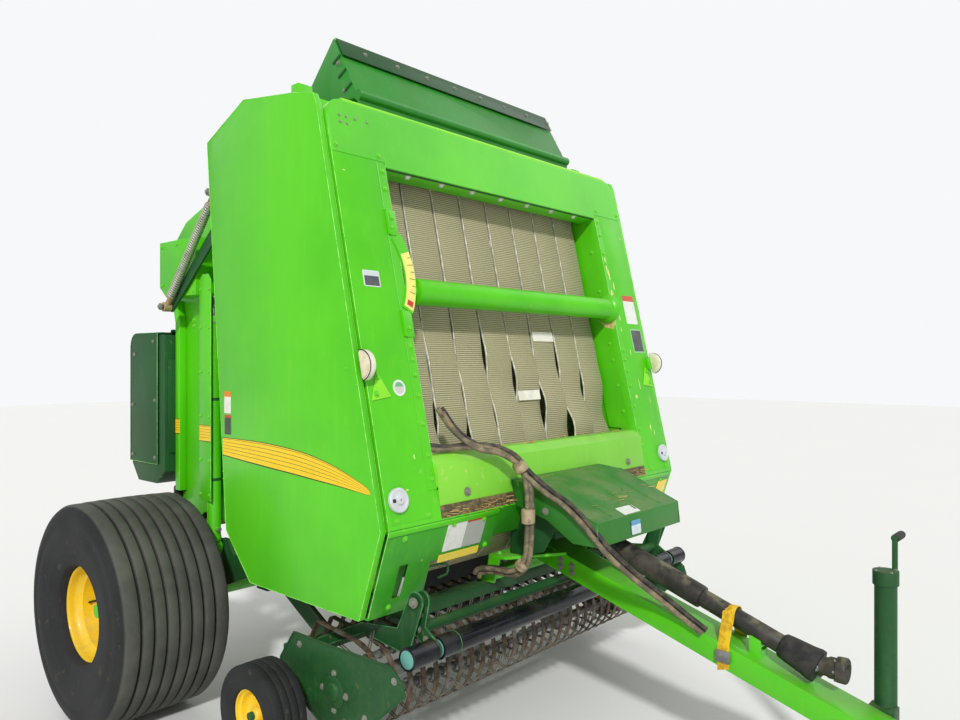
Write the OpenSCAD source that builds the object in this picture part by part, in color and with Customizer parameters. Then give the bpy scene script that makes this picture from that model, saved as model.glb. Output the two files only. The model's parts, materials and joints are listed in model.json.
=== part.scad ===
// Round baler, parked: a towed machine with belts, pickup and tailgate.
// x runs across the machine, -y is the front, z is up from the ground.
// Sizes are in mm. Side views are outlines in y and z.

/* [Ground and wheels] */
// Outside diameter of a main tyre
tyre_d = 1030; // [980:5:1060]
// Width of a main tyre
tyre_w = 530; // [480:5:540]
// Distance from the middle of the machine to the middle of a main tyre
track_half = 1212; // [1205:1:1240]
// Diameter of a main wheel's rim
rim_d = 445; // [400:5:480]
// Place of the axle behind the front panel's fold
axle_y = 1700; // [1690:2:1720]
// Number of ribs round a main tyre
rib_count = 8; // [5:1:10]
// Outside diameter of a gauge wheel
gauge_d = 390; // [340:5:400]
// Width of a gauge wheel's tyre
gauge_w = 150; // [110:5:160]

/* [Body] */
// Half width across the side shields
body_half_w = 1082; // [1066:1:1106]
// Thickness of a side shield
shield_t = 26; // [20:1:32]
// Sheet thickness of the folded panels
sheet = 6; // [4:0.5:8]
// Half width of the front window
window_half_w = 777.5; // [740:0.5:778]
// Height of the front window's upper edge
window_top_z = 2490; // [2440:5:2520]
// Height of the front panel's fold above the ground
fold_z = 1082; // [1070:1:1095]
// Backward lean of the front panel
lean_a = 13.05; // [12:0.05:14]
// Depth of the front panel's folded edges
reveal = 96; // [80:1:100]
// Inner half width of the bale chamber
chamber_half_w = 785; // [782:0.5:792]

/* [Belts and rolls] */
// Number of belts
belt_count = 8; // [6:1:10]
// Distance from one belt to the next
belt_pitch = 189.5; // [150:0.5:190]
// Gap between two belts
belt_gap = 11.5; // [6:0.5:30]
// Thickness of a belt
belt_t = 8; // [6:0.5:10]
// Radius of the belt rolls
roll_r = 60; // [50:1:66]
// Radius of the lower front drum
drum_r = 130; // [115:1:135]

/* [Pickup] */
// Half width inside the pickup's end panels
pickup_half_w = 1050; // [1000:1:1060]
// Radius of the circle of the tine tips
tine_tip_r = 235; // [215:1:240]
// Number of stripper bands
band_count = 28; // [20:1:30]
// Number of tine bars round the reel
tine_bars = 4; // [3:1:6]
// Thickness of a tine
tine_d = 6; // [5:0.5:8]
// Radius of the press roller ahead of the pickup
press_roll_r = 43; // [36:1:48]

/* [Tongue] */
// Place of the hitch tip ahead of the front panel's fold
hitch_reach = 1880; // [1800:5:1950]
// Height of the tongue beam's section
tongue_h = 92; // [80:1:110]
// Width of the tongue beam's section
tongue_w = 160; // [120:2:180]
// Diameter of the hitch pin's hole
pin_hole_d = 33; // [26:0.5:40]
// Diameter of the power shaft's splined hole, across its wall
spline_d = 35; // [30:0.5:40]

/* [Gate] */
// Place of the tailgate's rear end behind the front panel's fold
rear_reach = 2320; // [2290:5:2360]
// Width of the net box, half
net_half_w = 905; // [860:5:915]

/* [Hidden] */
$fn = 48;
eps = 0.01;
seat = 0.3;

PAINT = [0.16, 0.50, 0.10];
SHADE = [0.10, 0.33, 0.12];
YELLOW = [0.93, 0.76, 0.12];
RUBBER = [0.12, 0.12, 0.12];
BELT = [0.42, 0.40, 0.33];
STEEL = [0.36, 0.36, 0.36];
RUST = [0.42, 0.25, 0.14];
PALE = [0.80, 0.82, 0.82];

mid_y = (rear_reach - hitch_reach) / 2;
belt_w = belt_pitch - belt_gap;
belts_half_w = belt_pitch * belt_count / 2;
axle_z = tyre_d / 2;
lean_k = tan(lean_a);
front_half_w = body_half_w - shield_t - 8;
window_h = (window_top_z - fold_z) / cos(lean_a);
panel_h = window_h + 257;
sill_h = 121;
wall_t = 8;
wall_out = chamber_half_w + wall_t;
gate_in = wall_out + 6;
gate_t = 12;
gate_out = gate_in + gate_t;
rail_w = 34;
lamp_t = 34;

// Places in the side view: y behind the fold, z above the ground
gate_hinge = [1080, 2600];
top_roll = [565, 2610];
low_drum = [265, 950];
gate_top_roll = [1480, 2480];
gate_rear_roll = [1800, 2000];
gate_low_roll = [1800, 860];
rotor_at = [600, 792];
floor_roll = [925, 790];
axle_at = [axle_y, axle_z];
cyl_foot = [1500, 760];
cyl_eye = [1500, 1990];
cyl_x = 870;
cyl_r = 33;
barrel_len = 1130;
rod_r = 20;
pickup_pivot = [950, 700];
reel_at = [300, 430];
rail_z = [reel_at.y + tine_tip_r + 9, 735];
gauge_at = [540, 335];
gauge_x = pickup_half_w + 168;
guard_pivot = [0, 800];
press_at = [-62, 630];
guard_tube = [18, 688];
band_pitch = (2 * pickup_half_w - 90) / band_count;
// Place across the machine of the tine gap i, counted from the middle
function tine_x(i) = (i + (band_count % 2) / 2) * band_pitch;
// The windguard's arms stand beside the tine nearest the slots in the panel
guard_x = tine_x(round((front_half_w - 115) / band_pitch - (band_count % 2) / 2)) - 61;
jack_y = -1330;
jack_x = 150;
shaft_a = 19.7;

function unit(v) = v / norm(v);
function turn(v) = [-v.y, v.x];
function at(list, i) = list[(i + len(list)) % len(list)];
// Outline moved inwards by d, for points that run anticlockwise
function inset(list, d) = [for (i = [0:len(list) - 1])
    let (a = turn(unit(list[i] - at(list, i - 1))), b = turn(unit(at(list, i + 1) - list[i])))
    list[i] + d * (a + b) / (1 + a * b)];
function spot(c, r, a) = c + r * [cos(a), sin(a)];
// y of the front panel's face at the height z
function front_y(z) = lean_k * (z - fold_z);

module yz(x0, x1) translate([x0, 0, 0]) rotate([90, 0, 90]) linear_extrude(x1 - x0) children();
module across(half) yz(-half, half) children();
module both() {
    children();
    mirror([1, 0, 0]) children();
}
module rod_x(at, r, x0, x1) translate([x0, at.x, at.y]) rotate([0, 90, 0]) cylinder(r = r, h = x1 - x0);
module disc_at(at, r) translate(at) circle(r);
module leaned() translate([0, 0, fold_z]) rotate([-lean_a, 0, 0]) children();
// Outline in x and z with rounded upper corners, as a plate from y0 to y1
module panel_xz(y0, y1) translate([0, y1, 0]) rotate([90, 0, 0]) linear_extrude(y1 - y0) children();
module round_top(w, h, r) {
    translate([-w / 2, 0]) square([w, h - r]);
    translate([r - w / 2, 0]) square([w - 2 * r, h]);
    for (s = [-1, 1]) translate([s * (w / 2 - r), h - r]) circle(r);
}
// Link outline with round ends; its straight sides start just inside the round ends, so that they meet cleanly
module link(a, b, ra, rb) {
    in = 0.1;
    d = norm(b - a);
    s = asin((ra - rb) / d);
    w = atan2(b.y - a.y, b.x - a.x);
    disc_at(a, ra);
    disc_at(b, rb);
    polygon([spot(a, ra - in, w + 90 - s), spot(a, ra - in, w - 90 + s),
             spot(b, rb - in, w - 90 + s), spot(b, rb - in, w + 90 - s)]);
}

module axle() color(PAINT) {
    rod_x(axle_at, 60, -wall_out - 60, wall_out + 60);
    both() rod_x(axle_at, 32, wall_out + 60 - eps, track_half + 150);
    both() rod_x(axle_at, 78, wall_out + 40, wall_out + 60);
}

module main_frame() color(PAINT) {
    both() {
        // side rail with its rise to the axle
        yz(wall_out, wall_out + rail_w) difference() {
            polygon([[150, rail_z[0]], [1180, rail_z[0]], [axle_y - 150, axle_z + 20], [axle_y - 70, axle_z - 60],
                     [axle_y + 70, axle_z - 60], [axle_y + 110, axle_z + 60], [axle_y + 60, rail_z[1] - 40],
                     [1520, 795], [1440, 795], [1400, rail_z[1]], [150, rail_z[1]]]);
            disc_at(axle_at, 60 + seat);
        }
        // foot lug of the gate cylinder
        yz(wall_out + rail_w - eps, cyl_x - cyl_r - 8) difference() {
            link(cyl_foot, [1500, 690], 42, 60);
            disc_at(cyl_foot, 20);
        }
        rod_x(cyl_foot, 20, wall_out + rail_w - 20, cyl_x + cyl_r + 6);
        // rear post beside the gate's front edge
        yz(wall_out, gate_out + 18) polygon([[1150, rail_z[1] - eps], [1235, rail_z[1] - eps], [1215, 2250],
                                              [1150, 2370], [1120, 2370]]);
        // hinge arms of the side shield
        for (z = hinge_z) {
            y = hinge_y(z);
            translate([0, 0, z - 20]) linear_extrude(40) polygon([[wall_out + 2, 1155], [gate_out + 18, 1152],
                [hinge_x - 4, y - 8], [hinge_x - 4, y + 2], [gate_out + 18, 1195], [wall_out + 2, 1195]]);
            at_hinge(z) translate([0, 0, -24]) cylinder(r = 8, h = 48);
            at_hinge(z) translate([0, 0, -60]) cylinder(r = 5, h = 120);
        }
        // pin of the pickup's lift arm
        rod_x(pickup_pivot, 22, wall_out + rail_w - 5, wall_out + 72);
    }
    across(wall_out + eps) {
        translate([150, rail_z[0]]) square([60, 725 - rail_z[0]]);
        translate([1150, 590]) square([90, 66]);
    }
    both() yz(wall_out - 60, wall_out + eps) polygon([[1150, 590], [1240, 590], [1240, 700], [1150, 700]]);
}

tongue_top = [[110, 895.8], [-1400, 435], [-1690, 435]];
tongue_dir = unit(tongue_top[1] - tongue_top[0]);
module tongue() color(PAINT) {
    drop = tongue_h * [-turn(tongue_dir).x, -turn(tongue_dir).y];
    across(tongue_w / 2) polygon([tongue_top[0], tongue_top[0] + [0, -tongue_h], tongue_top[1] + [0, -tongue_h],
                                  tongue_top[2] + [0, -tongue_h], tongue_top[2], tongue_top[1]]);
    // flared cheeks that carry the beam on the front cross member
    both() translate([0, 0, 835]) linear_extrude(12)
        polygon([[tongue_w / 2 - eps, -90], [330, 60], [330, 150], [tongue_w / 2 - eps, 150]]);
    both() yz(318, 330) polygon([[90, 835 + eps], [120, 725], [160, 725], [160, 765 - eps], [149, 835 + eps]]);
    across(330) translate([150, 725]) square([60, 40]);
    // saddle under the parked power shaft
    difference() {
        translate([-32, -945, 560]) cube([64, 46, 95]);
        translate([0, shaft_from.x, shaft_from.y]) rotate([90 + shaft_a, 0, 0])
            cylinder(r = 36 + seat, h = 1200);
        translate([-26, -960, 600]) cube([52, 80, 15]);
    }
}

module hitch_clevis() color(STEEL) {
    tip = [-hitch_reach, 389];
    difference() {
        union() {
            for (z = [412, 328]) translate([0, 0, z]) linear_extrude(26) {
                translate([-50, -1690]) square([100, 60]);
                translate([-50, -hitch_reach + 50]) square([100, hitch_reach - 1690 - 50 + eps]);
                translate([0, -hitch_reach + 50]) circle(50);
            }
            translate([-50, -1690 - 60, 328]) cube([100, 60 - seat, 110]);
        }
        translate([0, -hitch_reach + 50, 300]) cylinder(d = pin_hole_d, h = 160);
        translate([-tongue_w / 2, -1690 - seat, 343 - seat]) cube([tongue_w, 100, tongue_h + 2 * seat]);
    }
}

module jack_sleeve() color(SHADE) {
    difference() {
        union() {
            translate([jack_x, jack_y, 330]) cylinder(r = 38, h = 560);
            translate([jack_x, jack_y, 890 - eps]) cylinder(r = 44, h = 50);
            translate([tongue_w / 2 + seat, jack_y - 45, 370]) cube([jack_x - tongue_w / 2, 90, 90]);
        }
        translate([jack_x, jack_y, 320]) cylinder(r = 32.05, h = 500);
    }
    // crank on the gear head
    translate([jack_x, jack_y, 915]) rotate([0, 90, 0]) cylinder(r = 9, h = 130);
    translate([jack_x + 118, jack_y - 9, 915]) cube([12, 18, 130]);
    translate([jack_x + 130 - eps, jack_y, 1033]) rotate([0, 90, 0]) cylinder(r = 13, h = 95);
}

module jack_leg() color(STEEL) {
    translate([jack_x, jack_y, 12 - eps]) cylinder(r = 32, h = 500);
    translate([jack_x - 110, jack_y - 110, 0]) cube([220, 220, 12]);
    translate([jack_x, jack_y, 12 - eps]) cylinder(r = 46, h = 24);
}

module gearbox() color(STEEL) {
    translate([-120, -60, 906]) cube([240, 175, 144]);
    translate([0, -60 + eps, shaft_from.y]) rotate([90, 0, 0]) cylinder(r = 62, h = 40);
    rod_x([35, 950], 50, -240, 240);
    both() yz(240 - eps, 252) polygon([[10, 847 + seat], [89, 847 + seat], [89, 1050], [-20, 1060], [-110, 1110],
                                       [-190, 1100], [-190, 1050], [-90, 880]]);
}

hood_half_w = 335;
module gearbox_hood() color(PAINT) {
    across(hood_half_w) polygon([[front_y(1190) - seat, 1190], [-120, 1178], [-414, 1056], [-424, 962], [-417, 962], [-407, 1051],
                                 [-118, 1171], [front_y(1183) - seat, 1183]]);
    both() yz(hood_half_w - 6, hood_half_w) polygon([[20, 1185], [-119, 1173], [-411, 1053], [-421, 962],
                                                     [-300, 962], [-170, 1040], [-12, 1080]]);
    // stand-offs on the gearbox's side plates
    both() for (p = [[-165, 1075], [-95, 1085]]) rod_x(p, 11, 252 + seat, hood_half_w - 6 + eps);
}

// The collapsed power shaft slopes down from the gearbox, and its front yoke turns level at the joint
shaft_from = [-122, 955];
shaft_joint = shaft_from - 1065 * [cos(shaft_a), sin(shaft_a)];
yoke_len = 120;
spline_len = 80;
module driveline() color([0.2, 0.2, 0.19]) {
    // lengths along the shaft with radii: yoke, joint shield, outer tube, inner tube, joint shield
    table = [[0, 60, 34], [60, 150, 62], [210, 400, 46], [610, 330, 36], [940, 150, 62]];
    translate([0, shaft_from.x, shaft_from.y]) rotate([90 + shaft_a, 0, 0])
        for (s = table) translate([0, 0, s[0]]) cylinder(r = s[2], h = s[1] + eps);
    translate([0, shaft_joint.x, shaft_joint.y]) rotate([90, 0, 0]) difference() {
        union() {
            cylinder(r = 38, h = yoke_len);
            translate([0, 0, yoke_len - 32]) cylinder(r = 46, h = 32);
        }
        translate([0, 0, yoke_len - spline_len]) cylinder(d = spline_d, h = spline_len + 1);
    }
}

module front_frame() color(PAINT) leaned() difference() {
    panel_xz(0, reveal) round_top(2 * front_half_w, panel_h, 90);
    translate([0, 0, -1]) panel_xz(-1, reveal + 1) translate([-window_half_w, sill_h])
        square([2 * window_half_w, window_h - sill_h + 1]);
    // the folded edges are open at the back
    for (s = [-1, 1]) translate([s * (window_half_w + front_half_w) / 2, 0, 0]) panel_xz(sheet, reveal + 1)
        translate([-(front_half_w - window_half_w) / 2 + sheet, sheet])
            square([front_half_w - window_half_w - 2 * sheet, window_h - 40]);
    panel_xz(sheet, reveal + 1) translate([-front_half_w + 90, window_h + sheet])
        square([2 * front_half_w - 180, panel_h - window_h - 2 * sheet]);
    panel_xz(sheet, reveal + 1) translate([-window_half_w, sheet]) square([2 * window_half_w, sill_h - sheet - 30]);
}

// The panel turns back below the fold, lower at the outer side than above the throat
module lower_fascia() color(PAINT) {
    flange = [[9, fold_z - 11], [86, fold_z - 29], [88, fold_z - 21]];
    both() difference() {
        yz(430, front_half_w) polygon(concat([[0, fold_z - 2 * seat], [118, rail_z[1] + seat],
                                              [178, rail_z[1] + seat], [178, rail_z[1] + 8], [124, rail_z[1] + 8]],
                                             flange));
        // above the throat the panel is short
        translate([430 - 1, -50, 700]) cube([guard_x - 90 - 430, 320, 215]);
        // slot behind the windguard's bracket
        translate([guard_x + 30, -20, 800]) cube([48, 200, 130]);
    }
    both() yz(258, 430 + eps) polygon(concat([[0, fold_z - 2 * seat], [45, 960], [53, 960]], flange));
}

module window_sill() color(PAINT) {
    half = window_half_w - seat;
    across(half) difference() {
        polygon([[20, 1205], [126, 1205], [150, 1300], [120, 1324], [66, 1324], [28, 1290]]);
        polygon([[28, 1213], [120, 1213], [141, 1297], [117, 1316], [70, 1316], [36, 1287]]);
    }
    both() yz(half - 8, half) polygon([[24, 1207], [124, 1207], [147, 1299], [119, 1322], [67, 1322], [30, 1289]]);
}

// Height of the top cover at the place y
function cover_z(y) = 2764 + 0.1725 * (y - 500);
visor_foot = [510, 2830];
visor_tip = [672, 3118];
module visor() color(PAINT) {
    dir = unit(visor_tip - visor_foot);
    side = -turn(dir);
    half = 769;
    t = 8;
    // upright sheet, top lip and rounded foot
    across(half) {
        polygon([visor_foot, visor_foot + t * side, visor_tip + t * side, visor_tip]);
        polygon([visor_tip, visor_tip - 60 * dir + [68, 0], visor_tip - 68 * dir + [68, 0],
                 visor_tip - 22 * dir + t * side]);
    }
    rod_x(visor_foot + [0, 5], 22, -half, half);
    // wide end plates
    both() yz(half - 6, half) polygon([visor_foot, visor_foot + [190, 0], [925, cover_z(925) + 8],
                                       visor_tip + [8, -4], visor_tip]);
    // feet on the top cover
    across(half) for (y = [visor_foot.x - 6, visor_foot.x + 176]) polygon([
        [y, cover_z(y) + seat], [y + 9, cover_z(y + 9) + seat], [y + 9, visor_foot.y + 6], [y, visor_foot.y + 6]]);
    across(half) translate([visor_foot.x, visor_foot.y - 4]) square([185, 9]);
}

// Fixed chamber wall, behind the front panel and ahead of the gate
wall_outline = [[250, rail_z[1] + seat], [1140, rail_z[1] + seat], [1140, 2290], [1060, 2440], [960, 2560],
                [960, 2700], [front_y(2700) + 110, 2700], [front_y(1100) + 110, 1100], [180, 900]];
module chamber_wall() color(SHADE) {
    difference() {
        yz(chamber_half_w, wall_out) polygon(wall_outline);
        rod_x(gate_hinge, 31, chamber_half_w - 1, wall_out + 1);
    }
    // tabs inside the front panel's edge flange
    for (z = [1250, 1750, 2250, 2560]) yz(window_half_w + sheet + seat, wall_out)
        translate([front_y(z) + 60, z]) square([60, 60]);
    // flanged bearings of the rolls
    for (c = [top_roll, low_drum, rotor_at, floor_roll]) rod_x(c, 42, wall_out - eps, wall_out + 26);
    // hinge boss of the gate
    yz(chamber_half_w, wall_out) link(gate_hinge, [960, 2600], 62, 90);
    rod_x(gate_hinge, 30, wall_out - eps, gate_out + 30);
}
module chamber_wall_left() chamber_wall();
module chamber_wall_right() mirror([1, 0, 0]) chamber_wall();

module top_cover() color(PAINT) {
    half = body_half_w - shield_t - 10;
    across(half) polygon([[484, 2728], [500, cover_z(500)], [940, cover_z(940)], [940, cover_z(940) - 8],
                          [506, cover_z(506) - 8], [492, 2728]]);
    // lifting lugs
    both() translate([half - 100, 590, cover_z(590) - 4]) cube([70, 50, 64]);
    across(wall_out) for (y = [560, 900]) polygon([[y, 2700 + seat], [y + 10, 2700 + seat],
                                                  [y + 10, cover_z(y) - 4], [y, cover_z(y) - 4]]);
}

module tension_tube() color(PAINT) {
    at = [236, 1980];
    rod_x(at, 55, -window_half_w + 75, window_half_w - 12);
    rod_x(at, 24, -window_half_w + seat, window_half_w - seat);
    rod_x(at, 78, window_half_w - 12 - seat, window_half_w - seat);
}

module bale_scale() {
    // curved scale and its brackets on the panel's inner edge
    h0 = (1896 - fold_z) / cos(lean_a);
    h1 = (2200 - fold_z) / cos(lean_a);
    mid = (h0 + h1) / 2;
    r = 330;
    color(YELLOW) leaned() panel_xz(-9, -seat) intersection() {
        difference() {
            translate([-window_half_w - r + 64, mid]) circle(r);
            translate([-window_half_w - r + 64, mid]) circle(r - 56);
        }
        translate([-window_half_w - 120, h0]) square([240, h1 - h0]);
    }
    color(PAINT) leaned() for (h = [h0 - 110, h1 + seat]) panel_xz(-9, -seat)
        translate([-window_half_w - 45, h]) square([56, 110 - seat]);
}

module belt_loop(a, b, ra, rb, t) difference() {
    link(a, b, ra + t, rb + t);
    link(a, b, ra, rb);
}
module front_belts() color(BELT) for (i = [0:belt_count - 1]) {
    x = -belts_half_w + belt_gap / 2 + i * belt_pitch;
    yz(x, x + belt_w) belt_loop(top_roll, low_drum, roll_r + seat, drum_r + seat, belt_t);
}

module fixed_rolls() color(STEEL) {
    // place in the side view, radius
    for (r = [[top_roll, roll_r], [low_drum, drum_r], [floor_roll, roll_r + 30]]) {
        rod_x(r[0], r[1], -chamber_half_w + 6, chamber_half_w - 6);
        rod_x(r[0], 25, -chamber_half_w + seat, chamber_half_w - seat);
    }
}

module feed_rotor() color(STEEL) {
    rod_x(rotor_at, 62, -chamber_half_w + 12, chamber_half_w - 12);
    rod_x(rotor_at, 25, -chamber_half_w + seat, chamber_half_w - seat);
    // tooth plates in pairs along the rotor, each pair turned from the last
    n = 14;
    for (i = [0:n - 1]) {
        x = -chamber_half_w + 60 + i * (2 * chamber_half_w - 128) / (n - 1);
        yz(x, x + 8) for (a = [0, 120, 240]) translate(rotor_at) rotate(a + i * 25)
            polygon([[20, -42], [20, 42], [70, 30], [112, 26], [100, 4], [70, -34]]);
    }
}

module latch_discs() color(PALE) both() leaned() {
    h = (1184 - fold_z) / cos(lean_a);
    translate([front_half_w - 58, -18, h]) rotate([-90, 0, 0]) cylinder(r = 46, h = 18 - seat);
    translate([front_half_w - 58, -24, h]) rotate([-90, 0, 0]) cylinder(r = 18, h = 7);
}

// D-shaped lamps ahead of the panel's outer edges, with a lens on each side
lamp_r = 58;
lamp_w = 26;
lamp_gap = 12;
module marker_lamps() both() leaned() translate([front_half_w, 0, (1677 - fold_z) / cos(lean_a)]) {
    color(PAINT) translate([-28, -lamp_gap - 14, -34]) cube([30, lamp_gap + 14 - seat, 68]);
    // place across, width and radius of the rim, and of the lenses that stand out of it
    color([0.9, 0.7, 0.4]) for (d = [[1, lamp_w, lamp_r], [-1, lamp_w + 4, lamp_r - 8]])
        translate([d[0], -lamp_gap, 0]) rotate([0, 90, 0]) intersection() {
            cylinder(r = d[2], h = d[1]);
            translate([-lamp_r, -lamp_r, -1]) cube([2 * lamp_r, lamp_r, lamp_w + 6]);
        }
}

// Hoses lie over the sill and drop to the pickup
hose_route = [[-700, 88, 1500], [-640, 60, 1410], [-570, 15, 1350], [-480, -30, 1325], [-410, -80, 1270],
              [-385, -110, 1190], [-380, -115, 1080], [-378, -110, 960], [-376, -90, 860], [-376, -20, 805],
              [-376, 80, 800], [-376, 160, 785], [-376, 180, 762]];
hose_r = 16;
function lerp(a, b, t) = a + (b - a) * t;
function smooth_at(p, i, t) = let (n = len(p), a = p[max(i - 1, 0)], b = p[i], c = p[i + 1], d = p[min(i + 2, n - 1)])
    0.5 * (2 * b + (c - a) * t + (2 * a - 5 * b + 4 * c - d) * t * t + (3 * b - a - 3 * c + d) * t * t * t);
function route(p, k) = [for (i = [0:len(p) - 2], j = [0:k - 1]) smooth_at(p, i, j / k), p[len(p) - 1]];
module sweep(path, r, sides = 8) {
    n = len(path);
    rings = [for (i = [0:n - 1])
        let (d = unit(path[min(i + 1, n - 1)] - path[max(i - 1, 0)]),
             u = unit(cross(d, abs(d.z) > 0.9 ? [1, 0, 0] : [0, 0, 1])), v = cross(u, d))
        for (s = [0:sides - 1]) path[i] + r * (u * cos(s * 360 / sides) + v * sin(s * 360 / sides))];
    sides_f = [for (i = [0:n - 2], s = [0:sides - 1]) let (a = i * sides, t = (s + 1) % sides)
        [a + s, a + t, a + t + sides, a + s + sides]];
    polyhedron(rings, concat([[for (s = [sides - 1:-1:0]) s]], sides_f, [[for (s = [0:sides - 1]) (n - 1) * sides + s]]), 4);
}
module hose_bundle() color([0.15, 0.14, 0.12]) 
    sweep(concat(route(hose_route, 3), [[-376, 180, rail_z[1] - 10 + seat]]), hose_r * 1.6);

spring_top = [1345, 2500];
spring_low = [1815, 1975];
spring_x = 958;
module springs() color(PALE) both() {
    len = norm(spring_low - spring_top);
    a = atan2(spring_low.y - spring_top.y, spring_low.x - spring_top.x);
    coil_n = 34;
    pitch = (len - 110) / coil_n;
    difference() {
        union() {
            translate([spring_x, spring_top.x, spring_top.y]) rotate([a, 0, 0]) rotate([-90, 0, 0]) {
                cylinder(r = 17, h = len);
                for (i = [0:coil_n - 1]) translate([0, 0, 50 + i * pitch]) cylinder(r = 23, h = pitch * 0.62);
            }
            for (p = [spring_top, spring_low]) rod_x(p, 26, spring_x - 20, spring_x + 20);
        }
        for (p = [spring_top, spring_low]) rod_x(p, 12 + seat, spring_x - 30, spring_x + 30);
    }
}

module spring_levers() color(SHADE) both() {
    // lever beside the spring and the bracket that carries both
    yz(spring_x - 24 - 12, spring_x - 24) link([1380, 2330], spring_low, 34, 26);
    rod_x(spring_low, 12, spring_x - 24 - 6, spring_x + 34);
    for (p = [spring_top, [1380, 2330]]) rod_x(p, 12, gate_out + 39, p == spring_top ? spring_x + 34 : spring_x - 30);
    yz(gate_out + 18 + seat, gate_out + 40) polygon([[1180, 2250], [1215, 2250 + seat], [1400, 2290], [1420, 2350],
                                             [1380, 2540], [1310, 2540], [1130, 2400], [1120, 2370 + seat],
                                             [1150, 2370 + seat]]);
}

shield_back = 11;
shield_outline = [[128, 742], [843, 751], [1033, 947], [1083, 1520], [1142, 2141], [1194, 2686], [896, 2818],
                  [554, 2772], [405, 2742], [front_y(2708) + shield_back, 2708], [shield_back, fold_z]];
hinge_x = body_half_w - 14;
hinge_z = [1180, 2180];
hinge_lean = atan(0.089);
// y of the slanting hinge line of a side shield at the height z
function hinge_y(z) = 1019 + 0.089 * (z - 937);
module at_hinge(z) translate([hinge_x, hinge_y(z), z]) rotate([-hinge_lean, 0, 0]) children();
module shield() color(PAINT) difference() {
    yz(body_half_w - shield_t, body_half_w) polygon(shield_outline);
    yz(body_half_w - shield_t - 1, body_half_w - 5) polygon(inset(shield_outline, 26));
    // notches and pin holes of the hinges
    for (z = hinge_z) at_hinge(z) {
        translate([-shield_t, -24, -32]) cube([shield_t + 10, 60, 64]);
        translate([0, 0, -70]) cylinder(r = 5.05, h = 140);
    }
}
module shield_left() shield();
module shield_right() mirror([1, 0, 0]) shield();

gate_outline = [[1245, 780], [1560, 905], [1700, 905], [1880, 780], [1930, 1000], [1930, 1900], [1985, 2080],
                [1985, 2360], [1890, 2440], [1640, 2525], [1470, 2610], [1080, 2690], [1010, 2640], [1010, 2560], [1245, 2330]];
module gate_frame() color(PAINT) {
    both() {
        difference() {
            yz(gate_in, gate_out) polygon(gate_outline);
            rod_x(gate_hinge, 30.05, gate_in - 1, gate_out + 1);
        }
        // eye lug of the cylinder's rod
        yz(gate_out - eps, gate_out + 12) link(cyl_eye, cyl_eye + [48, 46], 46, 36);
    }
    across(gate_in + eps) {
        translate([1862, 1862]) square([60, 56]);
        translate([1860, 2300]) square([60, 60]);
        // cover over the upper rear corner
        polygon([[1979, 2090], [1985, 2090], [1985, 2360], [1890, 2440], [1886, 2435], [1979, 2357]]);
        translate([1500, 2545]) square([60, 40]);
        translate([1862, 1010]) square([50, 50]);
    }
}

// Ribs along the rear edge, closed boxes at the upper sides and guards beside the cylinders
guard_in = cyl_x + cyl_r + 8;
module gate_boxes() color(PAINT) both() {
    yz(gate_out, gate_out + 40) polygon([[1880, 1000], [1930, 1000], [1930, 1900], [1966, 2018], [1918, 2018],
                                         [1880, 1900]]);
    yz(gate_out, 915) polygon([[1600, 2030], [1905, 2030], [1975, 2085], [1975, 2325], [1600, 2325]]);
    yz(guard_in, guard_in + 5) polygon([[1452, 1000], [1562, 1000], [1562, 2096], [1530, 2126], [1478, 2126],
                                        [1452, 2096]]);
    yz(gate_out, guard_in + 5) polygon([[1556, 1000], [1562, 1000], [1562, 1935], [1556, 1935]]);
}

module gate_rolls() color(STEEL) for (c = [gate_top_roll, gate_rear_roll, gate_low_roll]) {
    rod_x(c, roll_r - 10, -belts_half_w - 8, belts_half_w + 8);
    rod_x(c, 22, -gate_in + seat, gate_in - seat);
}

module gate_belts() color(BELT) for (i = [0:belt_count - 1]) {
    x = -belts_half_w + belt_gap / 2 + i * belt_pitch;
    r = roll_r - 10 + seat;
    yz(x, x + belt_w) difference() {
        union() {
            link(gate_rear_roll, gate_low_roll, r + belt_t, r + belt_t);
            link(gate_rear_roll, gate_top_roll, r + belt_t, r + belt_t);
        }
        link(gate_rear_roll, gate_low_roll, r, r);
        link(gate_rear_roll, gate_top_roll, r, r);
    }
}

lid_t = 6;
lid_r = 72;
lid_low = 1135;
lid_top = 1848;
// The lid's rear corner, rounded with the radius r, from the back up to the top
function lid_arc(r) = [for (a = [0:15:90]) spot([rear_reach - lid_r, lid_top - lid_r], r, a)];
lid_outline = concat([[1962, lid_top], [1962, lid_top - lid_t]],
                     [for (i = [6:-1:0]) lid_arc(lid_r - lid_t)[i]],
                     [[rear_reach - lid_t, lid_low], [rear_reach, lid_low]], lid_arc(lid_r));
lid_hinge = [1960, 1854];
net_rear = rear_reach - lid_t - seat;
net_top = lid_top - lid_t - seat;
net_outline = [[1940, 1100], [2030, 1030], [rear_reach - 80, 1030], [net_rear, 1120], [net_rear, net_top - 90],
               [net_rear - 90, net_top], [1975, net_top], [1960, 1835], [1940, 1835]];
module net_box() color(SHADE) {
    // end plates, floor and back of the net roll's box
    both() yz(net_half_w - 20, net_half_w) polygon(net_outline);
    across(net_half_w - 20 + eps) {
        polygon([[1940, 1100], [2030, 1030], [rear_reach - 80, 1030], [net_rear, 1120], [net_rear - 8, 1125],
                 [rear_reach - 84, 1038], [2033, 1038], [1948, 1104]]);
        polygon([[1940, 1100], [1948, 1100], [1948, 1835], [1940, 1835]]);
    }
    // brackets on the gate's ribs, and the ears and pins of the lid's hinge
    both() yz(gate_out, net_half_w - 20 + eps) translate([1930 + seat, 1200]) square([10, 500]);
    both() yz(820, 832) polygon([[1940, 1780], [1948, 1780], [1970, 1854], [1960, 1866], [1950, 1862], [1940, 1835]]);
    both() rod_x(lid_hinge, 5, 826, 860);
}

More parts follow.
